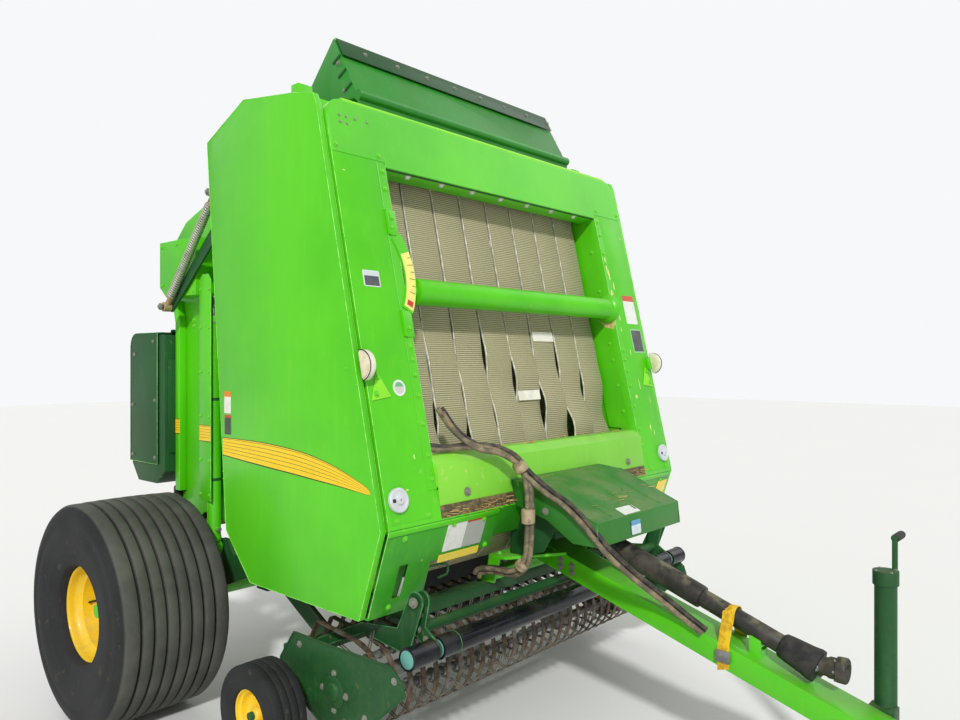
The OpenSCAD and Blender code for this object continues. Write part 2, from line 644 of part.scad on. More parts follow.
module net_lid() color(PAINT) difference() {
    union() {
        across(net_half_w + 10) polygon(lid_outline);
        // side walls outside the box's end plates
        both() yz(net_half_w + 5, net_half_w + 10)
            polygon(concat([[2003, lid_top], [2003, lid_low], [rear_reach, lid_low]], lid_arc(lid_r)));
        both() yz(838, 856) link(lid_hinge, [1968, 1847], 10, 5);
    }
    both() rod_x(lid_hinge, 5.05, 820, 870);
    both() yz(814, 838) translate([1940, 1835]) square([36, 36]);
}

module tail_lamps() color([0.7, 0.08, 0.05]) both() {
    translate([gate_out - 50, 1930 + seat, 935]) cube([90, lamp_t, 90]);
}

module barrel() color(PAINT) {
    difference() {
        rod_x(cyl_foot, 40, cyl_x - 24, cyl_x + 24);
        rod_x(cyl_foot, 20.05, cyl_x - 25, cyl_x + 25);
    }
    translate([cyl_x, cyl_foot.x, cyl_foot.y + 36]) difference() {
        union() {
            cylinder(r = cyl_r, h = barrel_len);
            // gland, weld ring and the oil port's boss
            translate([0, 0, barrel_len - 44]) cylinder(r = cyl_r + 3, h = 44);
            cylinder(r = cyl_r + 3, h = 20);
            translate([0, 6 - cyl_r, 60]) rotate([90, 0, 0]) cylinder(r = 12, h = 22);
        }
        translate([0, 0, 64]) cylinder(r = rod_r + 0.05, h = barrel_len);
    }
}
module barrel_left() barrel();
module barrel_right() mirror([1, 0, 0]) barrel();

module gate_rod() color([0.75, 0.76, 0.78]) {
    rod_x(cyl_eye, 36, cyl_x - 20, cyl_x + 20);
    rod_x(cyl_eye, 18, gate_out + 12 + 5, cyl_x + 34);
    translate([cyl_x, cyl_eye.x, cyl_foot.y + 120]) cylinder(r = rod_r, h = cyl_eye.y - cyl_foot.y - 120 - 30);
}
module rod_left() gate_rod();
module rod_right() mirror([1, 0, 0]) gate_rod();

// Tyre section: radius against x, with a shoulder and grooves between ribs
module tyre(at, x, d, w, bead_d, ribs, groove) translate([x, at.x, at.y]) rotate([0, 90, 0]) difference() {
    rotate_extrude($fn = 96) polygon([[bead_d / 2, -w * 0.36], [d / 2 - w * 0.24, -w / 2], [d / 2 - w * 0.09, -w * 0.47],
        [d / 2, -w * 0.36], [d / 2, w * 0.36], [d / 2 - w * 0.09, w * 0.47], [d / 2 - w * 0.24, w / 2],
        [bead_d / 2, w * 0.36]]);
    for (i = [1:ribs - 1]) translate([0, 0, -w * 0.40 + i * w * 0.8 / ribs - groove / 2]) difference() {
        cylinder(r = d / 2 + 5, h = groove, $fn = 96);
        translate([0, 0, -1]) cylinder(r = d / 2 - groove, h = groove + 2, $fn = 96);
    }
}
module tyre_left() color(RUBBER) tyre(axle_at, track_half, tyre_d, tyre_w, rim_d + seat * 2, rib_count, 14);
module tyre_right() mirror([1, 0, 0]) tyre_left();

module rim(at, x, d, w, hub_r, bore_r, nuts) translate([x, at.x, at.y]) rotate([0, 90, 0]) {
    rotate_extrude($fn = 96) polygon([[bore_r, -w * 0.2], [hub_r, -w * 0.2], [hub_r, w * 0.1], [d * 0.36, w * 0.12],
        [d / 2 - 12, -w * 0.36], [d / 2, -w * 0.36], [d / 2, w * 0.36], [d / 2 - 12, w * 0.36],
        [d * 0.38, w * 0.17], [hub_r, w * 0.15], [hub_r, w * 0.26], [bore_r, w * 0.26]]);
    // wheel nuts on the dish
    for (k = [0:nuts - 1]) rotate(k * 360 / nuts) translate([hub_r * 1.32, 0, w * 0.14])
        cylinder(r = hub_r * 0.13, h = w * 0.05);
}
module rim_left() color(YELLOW) rim(axle_at, track_half, rim_d, tyre_w, 80, 32.05, 8);
module rim_right() mirror([1, 0, 0]) rim_left();

// The rod's tip line of the reel; the end panels carry its shaft
panel_outline = [[100, 350], [300, 250], [480, 330], [640, 330], [650, 480], [560, 600], [300, 600],
                 [-20, 605], [-75, 560], [-90, 515]];
module pickup_frame() color(SHADE) {
    both() {
        difference() {
            yz(pickup_half_w, pickup_half_w + 10) polygon(panel_outline);
            rod_x(reel_at, 22.05, pickup_half_w - 1, pickup_half_w + 11);
        }
        // stub axle of the gauge wheel
        rod_x(gauge_at, 16, pickup_half_w + 10 - eps, gauge_x + 60);
        rod_x(gauge_at, 30, pickup_half_w + 10 - eps, gauge_x - gauge_w / 2 - 12);
        // lift arm to the pivot on the main frame
        yz(wall_out + 46, wall_out + 66) difference() {
            link(pickup_pivot, [620, 520], 40, 40);
            disc_at(pickup_pivot, 22.05);
        }
        // bracket of the windguard
        yz(guard_x + 39, guard_x + 45) difference() {
            union() {
                link(guard_pivot, [70, 640], 38, 46);
                link([70, 640], [300, 640], 46, 20);
                link([300, 640], [600, 505], 20, 20);
            }
            disc_at(guard_pivot, 14.05);
        }
    }
    // rear beam
    across(pickup_half_w + eps) translate([585, 470]) square([60, 60]);
}

module stripper_bands() color(RUST) {
    span = 2 * pickup_half_w - 90;
    pitch = span / band_count;
    w = 26;
    r = tine_tip_r - 55;
    for (i = [0:band_count - 1]) {
        x = -span / 2 + i * pitch + pitch / 2 - w / 2;
        yz(x, x + w) {
            difference() {
                disc_at(reel_at, r);
                disc_at(reel_at, r - 4);
                translate([reel_at.x, reel_at.y - 300]) square([400, 600]);
                translate([reel_at.x - 60, reel_at.y - 300]) square([100, 200]);
            }
            polygon([[reel_at.x - eps, reel_at.y + r - 4], [520, reel_at.y + r + 20], [520, reel_at.y + r + 24],
                     [reel_at.x - eps, reel_at.y + r]]);
            polygon([[516, reel_at.y + r + 22], [520, reel_at.y + r + 22], [585, 520], [585, 510]]);
        }
    }
}

module pickup_reel() color(STEEL) {
    half = pickup_half_w - 6;
    rod_x(reel_at, 30, -half, half);
    rod_x(reel_at, 22, -pickup_half_w - 9, pickup_half_w + 9);
    span = 2 * pickup_half_w - 90;
    pitch = span / band_count;
    bar_r = 105;
    for (k = [0:tine_bars - 1]) translate([0, reel_at.x, reel_at.y]) rotate([k * 360 / tine_bars + 20, 0, 0]) {
        translate([-half + 10, bar_r, 0]) rotate([0, 90, 0]) cylinder(r = 14, h = 2 * half - 20);
        // each tine is a coil on the bar with two prongs
        for (i = [1:band_count - 1]) translate([-span / 2 + i * pitch, bar_r, 0]) {
            translate([-10, 0, 0]) rotate([0, 90, 0]) cylinder(r = 20, h = 20);
            for (x = [-6.5, 6.5]) translate([x, 0, 0]) rotate([-90, 0, 0])
                cylinder(d = tine_d, h = tine_tip_r - bar_r - 3);
        }
    }
    for (x = [-half + 10, -half / 3, half / 3, half - 18]) yz(x, x + 8) disc_at(reel_at, bar_r + 16);
}

module gauge_wheel() {
    color(RUBBER) tyre(gauge_at, gauge_x, gauge_d, gauge_w, 206, 4, 6);
    color(YELLOW) rim(gauge_at, gauge_x, 206 + eps, gauge_w, 34, 16.05, 4);
}
module gauge_left() gauge_wheel();
module gauge_right() mirror([1, 0, 0]) gauge_wheel();

module windguard() color(SHADE) {
    both() {
        yz(guard_x, guard_x + 12) difference() {
            union() {
                link(guard_pivot, guard_tube, 36, 30);
                link(guard_tube, press_at, 30, 34);
            }
            disc_at(press_at, 12.05);
        }
        rod_x(guard_pivot, 14, guard_x + 12 - eps, guard_x + 58);
    }
    rod_x(guard_tube, 22, -guard_x - eps, guard_x + eps);
}

module press_roller() color([0.17, 0.17, 0.19]) {
    both() rod_x(press_at, press_roll_r, guard_x + 18, pickup_half_w - 30);
    rod_x(press_at, press_roll_r, -guard_x + 6, guard_x - 6);
    rod_x(press_at, 12, -guard_x - 20, guard_x + 20);
}

module placed() translate([0, -mid_y, 0]) children();

placed() axle();
placed() main_frame();
placed() tongue();
placed() hitch_clevis();
placed() jack_sleeve();
placed() jack_leg();
placed() gearbox();
placed() gearbox_hood();
placed() driveline();
placed() front_frame();
placed() lower_fascia();
placed() window_sill();
placed() visor();
placed() chamber_wall_right();
placed() chamber_wall_left();
placed() top_cover();
placed() tension_tube();
placed() bale_scale();
placed() front_belts();
placed() fixed_rolls();
placed() feed_rotor();
placed() latch_discs();
placed() marker_lamps();
placed() hose_bundle();
placed() springs();
placed() spring_levers();
placed() shield_right();
placed() shield_left();
placed() gate_frame();
placed() gate_boxes();
placed() gate_rolls();
placed() gate_belts();
placed() net_box();
placed() net_lid();
placed() tail_lamps();
placed() barrel_right();
placed() barrel_left();
placed() rod_right();
placed() rod_left();
placed() tyre_right();
placed() tyre_left();
placed() rim_right();
placed() rim_left();
placed() pickup_frame();
placed() stripper_bands();
placed() pickup_reel();
placed() gauge_right();
placed() gauge_left();
placed() windguard();
placed() press_roller();
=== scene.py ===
import json
import math
import random

import bmesh
import bpy
from mathutils import Euler, Matrix, Vector


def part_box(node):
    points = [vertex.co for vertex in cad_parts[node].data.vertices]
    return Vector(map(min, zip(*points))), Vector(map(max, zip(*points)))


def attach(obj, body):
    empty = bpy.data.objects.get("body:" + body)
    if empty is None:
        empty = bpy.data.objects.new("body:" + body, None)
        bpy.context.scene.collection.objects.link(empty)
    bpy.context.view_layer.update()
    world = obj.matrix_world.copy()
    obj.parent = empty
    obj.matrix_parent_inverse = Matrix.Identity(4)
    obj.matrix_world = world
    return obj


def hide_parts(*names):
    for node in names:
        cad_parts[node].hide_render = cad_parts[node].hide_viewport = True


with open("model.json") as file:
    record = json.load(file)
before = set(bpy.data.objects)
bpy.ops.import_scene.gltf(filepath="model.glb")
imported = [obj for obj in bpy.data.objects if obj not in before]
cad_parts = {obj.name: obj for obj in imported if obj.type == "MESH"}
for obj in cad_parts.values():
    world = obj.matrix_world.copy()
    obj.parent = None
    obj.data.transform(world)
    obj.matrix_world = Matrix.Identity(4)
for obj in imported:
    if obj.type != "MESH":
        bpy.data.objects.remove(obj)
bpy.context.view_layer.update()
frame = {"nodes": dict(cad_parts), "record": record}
random.seed(4)

# Places are written in the machine's own millimetres: x across, y behind the panel's fold, z above the ground
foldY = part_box("front_frame")[0].y
foldZ = 1082
lean = math.radians(13.05)
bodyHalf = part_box("shield_left")[1].x * 1000
windowHalf = 777.5
windowTop = 2490


def spot(x, y, z):
    return Vector((x / 1000, y / 1000 + foldY, z / 1000))


def leanedSpot(x, h, depth=0.0):
    # h runs up the leaning front panel from its fold, depth goes in behind its face
    return spot(x, depth * math.cos(lean) + h * math.sin(lean),
                foldZ + h * math.cos(lean) - depth * math.sin(lean))


leanedOut = Vector((0, -math.cos(lean), math.sin(lean)))

# The camera stands where the photograph was taken, at eye height by the front right corner
view = {"place": (-2.957, -2.338, 1.699), "turn": 48.58, "focal": 789.9, "frameWidth": 960}


def buildCamera():
    lens = bpy.data.cameras.new("camera")
    lens.sensor_width = 36
    lens.lens = view["focal"] / view["frameWidth"] * lens.sensor_width
    camera = bpy.data.objects.new("camera", lens)
    camera.location = view["place"]
    camera.rotation_euler = Euler((math.radians(90), 0, -math.radians(view["turn"])))
    bpy.context.scene.collection.objects.link(camera)
    bpy.context.scene.camera = camera


buildCamera()
print("camera placed")


class Wire:
    # A socket that takes part in sums; each operator adds one Math node
    def __init__(self, board, socket):
        self.board = board
        self.socket = socket

    def step(self, operation, *values):
        return self.board.add("ShaderNodeMath", {"operation": operation}, dict(enumerate(values)))

    def __add__(self, other):
        return self.step("ADD", self, other)

    def __radd__(self, other):
        return self.step("ADD", other, self)

    def __sub__(self, other):
        return self.step("SUBTRACT", self, other)

    def __rsub__(self, other):
        return self.step("SUBTRACT", other, self)

    def __mul__(self, other):
        return self.step("MULTIPLY", self, other)

    def __truediv__(self, other):
        return self.step("DIVIDE", self, other)

    def __gt__(self, other):
        return self.step("GREATER_THAN", self, other)

    def __lt__(self, other):
        return self.step("LESS_THAN", self, other)

    def __abs__(self):
        return self.step("ABSOLUTE", self)

    def sine(self):
        return self.step("SINE", self)

    def atLeast(self, other):
        return self.step("MAXIMUM", self, other)

    def atMost(self, other):
        return self.step("MINIMUM", self, other)

    def fraction(self):
        return self.step("FRACT", self)

    def ramp(self, low, high):
        # 0 at low and 1 at high, smooth between
        return self.board.add("ShaderNodeMapRange", {"interpolation_type": "SMOOTHSTEP"},
                              {0: self, 1: low, 2: high, 3: 0.0, 4: 1.0})


class Patch:
    # adds nodes to a tree and wires them; materials and shapes are both drawn up with it
    def add(self, kind, settings, values, output=0):
        node = self.tree.nodes.new(kind)
        for key, value in settings.items():
            setattr(node, key, value)
        for key, value in values.items():
            self.feed(node.inputs[key], value)
        return None if output is None else Wire(self, node.outputs[output])

    def feed(self, socket, value):
        if isinstance(value, Wire):
            self.tree.links.new(value.socket, socket)
        elif isinstance(value, list):
            for one in value:
                self.tree.links.new(one.socket, socket)
        elif value is not None:
            socket.default_value = value


class Board(Patch):
    # One material's node tree
    def __init__(self, name):
        self.material = bpy.data.materials.new(name)
        self.material.use_nodes = True
        self.tree = self.material.node_tree
        self.shader = self.tree.nodes["Principled BSDF"]
        self.coords = self.add("ShaderNodeTexCoord", {}, {}, "Object")
        self.facing = self.add("ShaderNodeTexCoord", {}, {}, "Normal")

    def axis(self, name):
        return self.add("ShaderNodeSeparateXYZ", {}, {0: self.coords}, name)

    def map(self, name):
        return self.add("ShaderNodeSeparateXYZ", {}, {0: self.add("ShaderNodeTexCoord", {}, {}, "UV")}, name)

    def up(self):
        # 1 where the surface faces the sky
        return self.add("ShaderNodeSeparateXYZ", {}, {0: self.facing}, "Z")

    def noise(self, scale, detail=3.0, rough=0.55, stretch=(1, 1, 1)):
        place = self.coords
        if stretch != (1, 1, 1):
            place = self.add("ShaderNodeMapping", {}, {"Vector": place, "Scale": stretch})
        return self.add("ShaderNodeTexNoise", {}, {"Vector": place, "Scale": scale, "Detail": detail,
                                                   "Roughness": rough})

    def mix(self, share, first, second, blend="MIX"):
        return self.add("ShaderNodeMix", {"data_type": "RGBA", "blend_type": blend},
                        {0: share, 6: first, 7: second}, 2)

    def bump(self, height, distance, strength=1.0, under=None):
        return self.add("ShaderNodeBump", {}, {"Strength": strength, "Distance": distance, "Height": height,
                                               "Normal": under})

    def done(self, **values):
        for name, value in values.items():
            self.feed(self.shader.inputs[name.replace("_", " ")], value)
        return self.material


def tint(red, green, blue):
    # sRGB 0 to 255 as the linear colour that a socket takes

    def linear(c):
        c = c / 255
        return c / 12.92 if c <= 0.04045 else ((c + 0.055) / 1.055) ** 2.4

    return (linear(red), linear(green), linear(blue), 1.0)


shade = {
    "paint": tint(84, 198, 4), "paintDeep": tint(54, 166, 8), "paintPale": tint(142, 226, 36),
    # dark green: the main paint darkened as painted shade for parts in shadow, and the dark green of the
    # stripe's printed lines
    "dark": tint(12, 78, 28), "darkDeep": tint(7, 54, 22),
    "yellow": tint(240, 200, 16), "yellowDeep": tint(206, 160, 20),
    "dust": tint(150, 142, 104), "primer": tint(206, 196, 128), "rust": tint(106, 84, 62),
    "rustDeep": tint(54, 45, 38), "rubber": tint(12, 14, 17), "rubberDust": tint(45, 46, 45),
    "belt": tint(216, 209, 166), "beltDeep": tint(124, 119, 92), "beltPale": tint(244, 240, 220),
    "steel": tint(150, 152, 150), "grease": tint(44, 43, 38), "pale": tint(216, 218, 214),
    "black": tint(24, 24, 24), "red": tint(172, 18, 14),
    "straw": tint(200, 170, 104), "strap": tint(232, 190, 24),
}


def paintFinish(name, main, deep, pale, dusty=0.25, worn=0.12, gloss=0.36):
    # sprayed enamel: faded in wide clouds, dusty on top, nicked to pale primer
    b = Board(name)
    clouds = b.noise(1.7, 4.0).ramp(0.35, 0.7)
    colour = b.mix(clouds * 0.45, main, deep)
    streaks = b.noise(5.0, 5.0, 0.6, stretch=(6, 6, 0.7)).ramp(0.52, 0.8)
    colour = b.mix(streaks * 0.12, colour, pale)
    fine = b.noise(42, 6.0, 0.7)
    settled = b.up().ramp(0.35, 0.98) * b.noise(6.5, 6.0, 0.65).ramp(0.38, 0.66)
    low = 1 - b.axis("Z").ramp(0.25, 1.15)
    film = (settled * dusty + low * fine.ramp(0.42, 0.7) * dusty * 0.45).atMost(0.8)
    colour = b.mix(film, colour, shade["dust"])
    nicks = (b.noise(23, 3.0, 0.5).ramp(0.66, 0.685) * b.noise(2.4, 2.0).ramp(0.5, 0.62)) * worn
    colour = b.mix(nicks, colour, shade["primer"])
    rough = gloss + film * 0.45 + nicks * 0.3 + fine * 0.08
    peel = b.bump(b.noise(260, 2.0), 0.0004, 0.25)
    return b.done(Base_Color=colour, Roughness=rough.atMost(1.0),
                  Coat_Weight=(0.12 - film * 0.12).atLeast(0.0), Coat_Roughness=0.12,
                  Normal=b.bump(film + nicks * -1.0, 0.0006, 0.5, peel))


def metalFinish(name, main, deep, rough=0.45, metal=0.7, grime=0.5, dusty=0.4):
    # bare or greasy steel with darker grime in patches
    b = Board(name)
    patches = b.noise(9, 6.0, 0.65).ramp(0.42, 0.64)
    colour = b.mix(patches * grime, main, deep)
    film = b.up().ramp(0.4, 0.95) * b.noise(14, 5.0).ramp(0.45, 0.62) * dusty
    colour = b.mix(film, colour, shade["dust"])
    return b.done(Base_Color=colour, Metallic=(metal - film - patches * grime * 0.4).atLeast(0.0),
                  Roughness=(rough + patches * 0.2 + film * 0.3).atMost(1.0),
                  Normal=b.bump(b.noise(70, 5.0, 0.7), 0.0008, 0.35))


def rustFinish(name):
    b = Board(name)
    flakes = b.noise(30, 8.0, 0.72)
    colour = b.mix(flakes.ramp(0.38, 0.62), shade["rustDeep"], shade["rust"])
    bare = b.noise(8, 4.0).ramp(0.55, 0.7)
    colour = b.mix(bare * 0.55, colour, shade["steel"])
    return b.done(Base_Color=colour, Metallic=bare * 0.5, Roughness=0.75 - bare * 0.3,
                  Normal=b.bump(flakes, 0.0014, 0.6))


def rubberFinish(name, centre):
    # tyre rubber, greyed by dust in its grooves and on its walls
    b = Board(name)
    side = abs(b.axis("X")) * 1000
    cloud = b.noise(5, 5.0, 0.6).ramp(0.35, 0.7)
    film = (cloud * 0.42 + b.noise(60, 5.0, 0.7).ramp(0.45, 0.75) * 0.28)
    low = 1 - b.axis("Z").ramp(0.05, 0.55)
    colour = b.mix((film + low * 0.22).atMost(0.85), shade["rubber"], shade["rubberDust"])
    scuffs = b.noise(16, 4.0, 0.6, stretch=(3, 1, 1)).ramp(0.6, 0.72)
    colour = b.mix(scuffs * 0.1 * (abs(side - centre) < 300), colour, shade["dust"])
    # the main wheels' tread is greyer than their walls; their axle is 1.48 back and 0.515 m up
    ahead, above = b.axis("Y") - 1.48, b.axis("Z") - 0.515
    reach = ahead * ahead + above * above
    worn = reach.ramp(0.2475, 0.2555) * (reach < 0.29)
    colour = b.mix(worn * (0.45 + cloud * 0.3), colour, tint(92, 93, 84))
    return b.done(Base_Color=colour, Roughness=0.78 + film * 0.15,
                  Normal=b.bump(b.noise(180, 4.0, 0.6) + cloud * 0.4, 0.0012, 0.4))


def beltFinish():
    # woven rubber belt: u runs along it in metres, v across it from 0 to 1
    b = Board("beltRubber")
    u, v = b.map("X"), b.map("Y")
    along = u * 6.2832 / 0.019
    across = v * 0.178 * 6.2832 / 0.0125
    studs = ((along + across).sine() * (along - across).sine()).ramp(-0.12, 0.5)
    margin = abs(v - 0.5)
    edge = margin.ramp(0.478, 0.492)
    tread = studs * (1 - margin.ramp(0.46, 0.475))
    cloud = b.noise(3.2, 5.0, 0.6).ramp(0.35, 0.7)
    colour = b.mix(tread, shade["beltDeep"], shade["belt"])
    colour = b.mix(cloud * 0.35, colour, tint(172, 165, 128))
    fibres = b.noise(90, 4.0, 0.7, stretch=(1, 1, 0.3)).ramp(0.4, 0.7)
    colour = b.mix(edge * (0.35 + fibres * 0.65), colour, shade["beltPale"])
    return b.done(Base_Color=colour, Roughness=0.82 - tread * 0.1, Normal=b.bump(tread, 0.0022, 0.9))


def plateFinish(name, ground, band=None, bandShare=0.0, border=None):
    # a printed plate with nothing on it: v runs up it from 0 to 1
    b = Board(name)
    u, v = b.map("X"), b.map("Y")
    colour = b.mix(b.noise(30, 4.0).ramp(0.4, 0.8) * 0.25, ground, shade["dust"])
    if band:
        colour = b.mix(v > 1 - bandShare, colour, band)
    if border:
        rim = (abs(u - 0.5).atLeast(abs(v - 0.5))) > 0.44
        colour = b.mix(rim, colour, border)
    faded = b.noise(120, 5.0, 0.7).ramp(0.62, 0.72)
    colour = b.mix(faded * 0.3, colour, shade["dust"])
    return b.done(Base_Color=colour, Roughness=0.42 + faded * 0.3, Normal=b.bump(faded, 0.0003, 0.3))


def stripeFinish():
    # yellow trim stripe with three thin green lines that run along it; v runs across it
    b = Board("trimStripe")
    v = b.map("Y")
    lines = (abs((v * 6.0).fraction() - 0.5) < 0.06) * (v > 0.2) * (v < 0.96)
    colour = b.mix(lines, shade["yellow"], shade["dark"])
    rim = ((v < 0.05) + (v > 0.97)).atMost(1.0)
    colour = b.mix(rim, colour, shade["black"])
    grime = b.noise(18, 5.0).ramp(0.45, 0.75)
    colour = b.mix(grime * 0.22, colour, shade["yellowDeep"])
    return b.done(Base_Color=colour, Roughness=0.4 + grime * 0.15,
                  Normal=b.bump(b.noise(250, 2.0), 0.0003, 0.2))


def lensFinish(name, colour, deep):
    b = Board(name)
    ribs = (b.axis("Z") * 6.2832 / 0.006).sine()
    paint = b.mix(b.noise(40, 3.0).ramp(0.35, 0.7) * 0.4, colour, deep)
    return b.done(Base_Color=paint, Roughness=0.16 + b.noise(60, 3.0) * 0.12, Coat_Weight=0.6,
                  Coat_Roughness=0.05, Normal=b.bump(ribs, 0.0007, 0.4))


def hoseFinish(name, main, deep):
    b = Board(name)
    worn = b.noise(24, 5.0, 0.65).ramp(0.4, 0.65)
    braid = b.noise(420, 2.0)
    return b.done(Base_Color=b.mix(worn, main, deep), Roughness=0.6 + worn * 0.3,
                  Normal=b.bump(braid, 0.0006, 0.5))


# main colour, its deeper clouds and its pale streaks, then how dusty, how nicked and how rough
paints = {
    "paint": (shade["paint"], shade["paintDeep"], shade["paintPale"]),
    "paintClean": (shade["paint"], shade["paintDeep"], shade["paintPale"], 0.12, 0.03),
    # the gearbox hood: dusty paint, also darkened as painted shade
    "paintDustyAndShaded": (tint(40, 120, 26), tint(30, 92, 30), tint(60, 150, 30), 0.35, 0.2, 0.5),
    "sillPaint": (tint(126, 204, 52), tint(100, 184, 42), tint(180, 220, 110), 0.35, 0.3, 0.5),
    # painted shade: the green paint darkened for the visor, which stands in shadow
    "visorPaint": (tint(32, 132, 30), tint(20, 104, 30), shade["paint"], 0.1, 0.05),
    # the panel below the fold: the green paint darkened as painted shade, with more dust and nicks
    "fascia": (tint(52, 156, 16), tint(30, 120, 20), shade["paintPale"], 0.3, 0.4),
    # painted shade: the green paint darkened for the frames, boxes, lid, pickup and other parts that stand in
    # shadow
    "dark": (shade["dark"], shade["darkDeep"], shade["paintDeep"], 0.14, 0.12, 0.6),
    "yellow": (shade["yellow"], shade["yellowDeep"], shade["pale"], 0.45, 0.5, 0.4),
    "boltPaint": (tint(104, 202, 44), shade["paint"], tint(170, 220, 110), 0.2, 0.6),
    "yellowBolt": (shade["yellow"], shade["yellowDeep"], shade["pale"], 0.4, 0.9, 0.4),
    "paintPale": (shade["paintPale"], shade["paint"], tint(176, 226, 120), 0.4, 0.5),
    # painted shade: the visor's top band, darkened further
    "darkStrip": (tint(14, 70, 26), shade["darkDeep"], shade["dark"], 0.1, 0.1, 0.45),
    # the roller's end caps: green paint tinted pale blue-green as painted sky light
    "capSkyLit": (tint(104, 170, 158), tint(64, 130, 118), tint(160, 208, 196), 0.2, 0.4),
}
# main colour, its grime, then how rough, how metallic, how grimy and how dusty
metals = {
    "steel": (shade["steel"], shade["rustDeep"]),
    "bolt": (tint(150, 150, 138), tint(104, 102, 90), 0.45, 0.5, 0.4),
    "grease": (shade["grease"], tint(80, 74, 62), 0.5, 0.25, 0.6),
    "chrome": (tint(214, 216, 220), tint(170, 172, 176), 0.12, 1.0, 0.2),
    "roller": (tint(34, 35, 42), tint(56, 54, 54), 0.16, 0.6, 0.3, 0.08),
    "disc": (tint(206, 210, 214), tint(150, 152, 150), 0.5, 0.1, 0.3),
    "spring": (tint(186, 184, 172), tint(120, 108, 84), 0.45, 0.7, 0.5),
    "boltPale": (tint(226, 228, 220), tint(160, 160, 150), 0.35, 0.3, 0.3),
    "clevis": (tint(186, 160, 122), tint(126, 92, 62), 0.55, 0.3, 0.6),
    "clip": (tint(238, 235, 222), tint(170, 162, 140), 0.45, 0.15, 0.4),
    "tine": (tint(132, 126, 116), shade["rustDeep"], 0.4, 0.6, 0.6),
    "lampRim": (tint(226, 220, 202), tint(186, 176, 150), 0.4, 0.0, 0.4),
}
# ground, the colour and share of the band at its top, and the border
plates = {
    "platePale": (tint(222, 224, 218),),
    "plateGrey": (tint(70, 76, 84), tint(196, 204, 206), 0.34, tint(210, 214, 210)),
    "plateRed": (tint(222, 224, 218), tint(196, 84, 54), 0.2),
    "plateDark": (tint(60, 66, 64), tint(190, 60, 44), 0.14),
    "plateYellow": (tint(232, 206, 72),),
    "plateSlate": (tint(70, 76, 80), None, 0.0, tint(140, 196, 140)),
    "scaleFace": (tint(232, 226, 120),),
    "redPaint": (tint(188, 44, 30),),
    "plateOrange": (tint(226, 224, 212), tint(226, 120, 30), 0.24),
    "roundInner": (tint(196, 196, 186), tint(96, 176, 120), 0.4),
    "textGrey": (tint(168, 172, 166), tint(196, 70, 50), 0.2),
    "skyPlate": (tint(206, 218, 226), tint(90, 150, 190), 0.35),
}
# hoses and other matt things: main colour and the worn one
coats = {
    "black": (shade["black"], tint(56, 54, 50)),
    "tan": (tint(172, 154, 122), tint(120, 104, 78)),
    "strap": (shade["strap"], tint(176, 130, 24)),
    "straw": (shade["straw"], tint(158, 128, 74)),
    "flake": (tint(218, 226, 140), tint(186, 200, 104)),
    "primer": (shade["primer"], tint(196, 140, 92)),
    "hose": (tint(92, 84, 68), tint(140, 126, 98)),
    "hoseBlack": (tint(34, 34, 33), tint(92, 84, 68)),
    # pale lines along edges: painted highlights where rounded edges catch the light, partly rubbed paint; the
    # dim one is for dark parts
    "edgeDark": (tint(86, 150, 92), tint(38, 104, 52)),
    "paleEdgeHighlightAndWear": (tint(158, 232, 112), tint(100, 196, 62)),
    "ledge": (tint(74, 66, 44), tint(128, 112, 76)),
}
# clear colour and its deeper patches
lenses = {
    "amber": (tint(226, 216, 184), tint(176, 164, 122)),
    "red": (shade["red"], tint(110, 8, 8)),
    "reflector": (tint(250, 214, 30), tint(226, 170, 16)),
}
finish = {}
for make, looks in ((paintFinish, paints), (metalFinish, metals), (plateFinish, plates), (hoseFinish, coats),
                    (lensFinish, lenses)):
    for name, values in looks.items():
        finish[name] = make(name, *values)
finish.update({"belt": beltFinish(), "stripe": stripeFinish(), "rust": rustFinish("rust"),
               "tyre": rubberFinish("tyre", 1212)})
print("finishes made:", len(finish))


def enrol(piece, stoodFor, body):
    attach(piece, body)
    if stoodFor:
        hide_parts(*stoodFor)
    return piece


def newPiece(name, mesh, material, *stoodFor, body="root", slot=None):
    mesh.materials.clear()
    mesh.materials.append(finish[material])
    piece = bpy.data.objects.new(name, mesh)
    bpy.context.scene.collection.objects.link(piece)
    return enrol(piece, stoodFor, body)


def shadeByAngle(mesh, degrees=35):
    # smooth faces, with the edges that turn more than this kept sharp
    bm = bmesh.new()
    bm.from_mesh(mesh)
    limit = math.radians(degrees)
    for face in bm.faces:
        face.smooth = True
    for edge in bm.edges:
        edge.smooth = len(edge.link_faces) == 2 and edge.calc_face_angle(0.0) < limit
    bm.to_mesh(mesh)
    bm.free()


def applyAll(piece):
    # the evaluated mesh takes the place of the piece's modifiers
    view = bpy.context.evaluated_depsgraph_get()
    view.update()
    mesh = bpy.data.meshes.new_from_object(piece.evaluated_get(view))
    old = piece.data
    piece.modifiers.clear()
    piece.data = mesh
    bpy.data.meshes.remove(old)


def roundOff(piece, radius, segments=2):
    # rounds the edges by so many millimetres
    bevel = piece.modifiers.new("edges", "BEVEL")
    bevel.width = radius / 1000
    bevel.segments = segments
    bevel.limit_method = "ANGLE"
    bevel.angle_limit = math.radians(38)
    applyAll(piece)


def meshOf(name, points, faces, edges=()):
    mesh = bpy.data.meshes.new(name)
    mesh.from_pydata([tuple(p) for p in points], edges, faces)
    return mesh


def outward(mesh):
    bm = bmesh.new()
    bm.from_mesh(mesh)
    bmesh.ops.remove_doubles(bm, verts=bm.verts, dist=0.00002)
    bmesh.ops.recalc_face_normals(bm, faces=bm.faces)
    bm.to_mesh(mesh)
    bm.free()
    return mesh


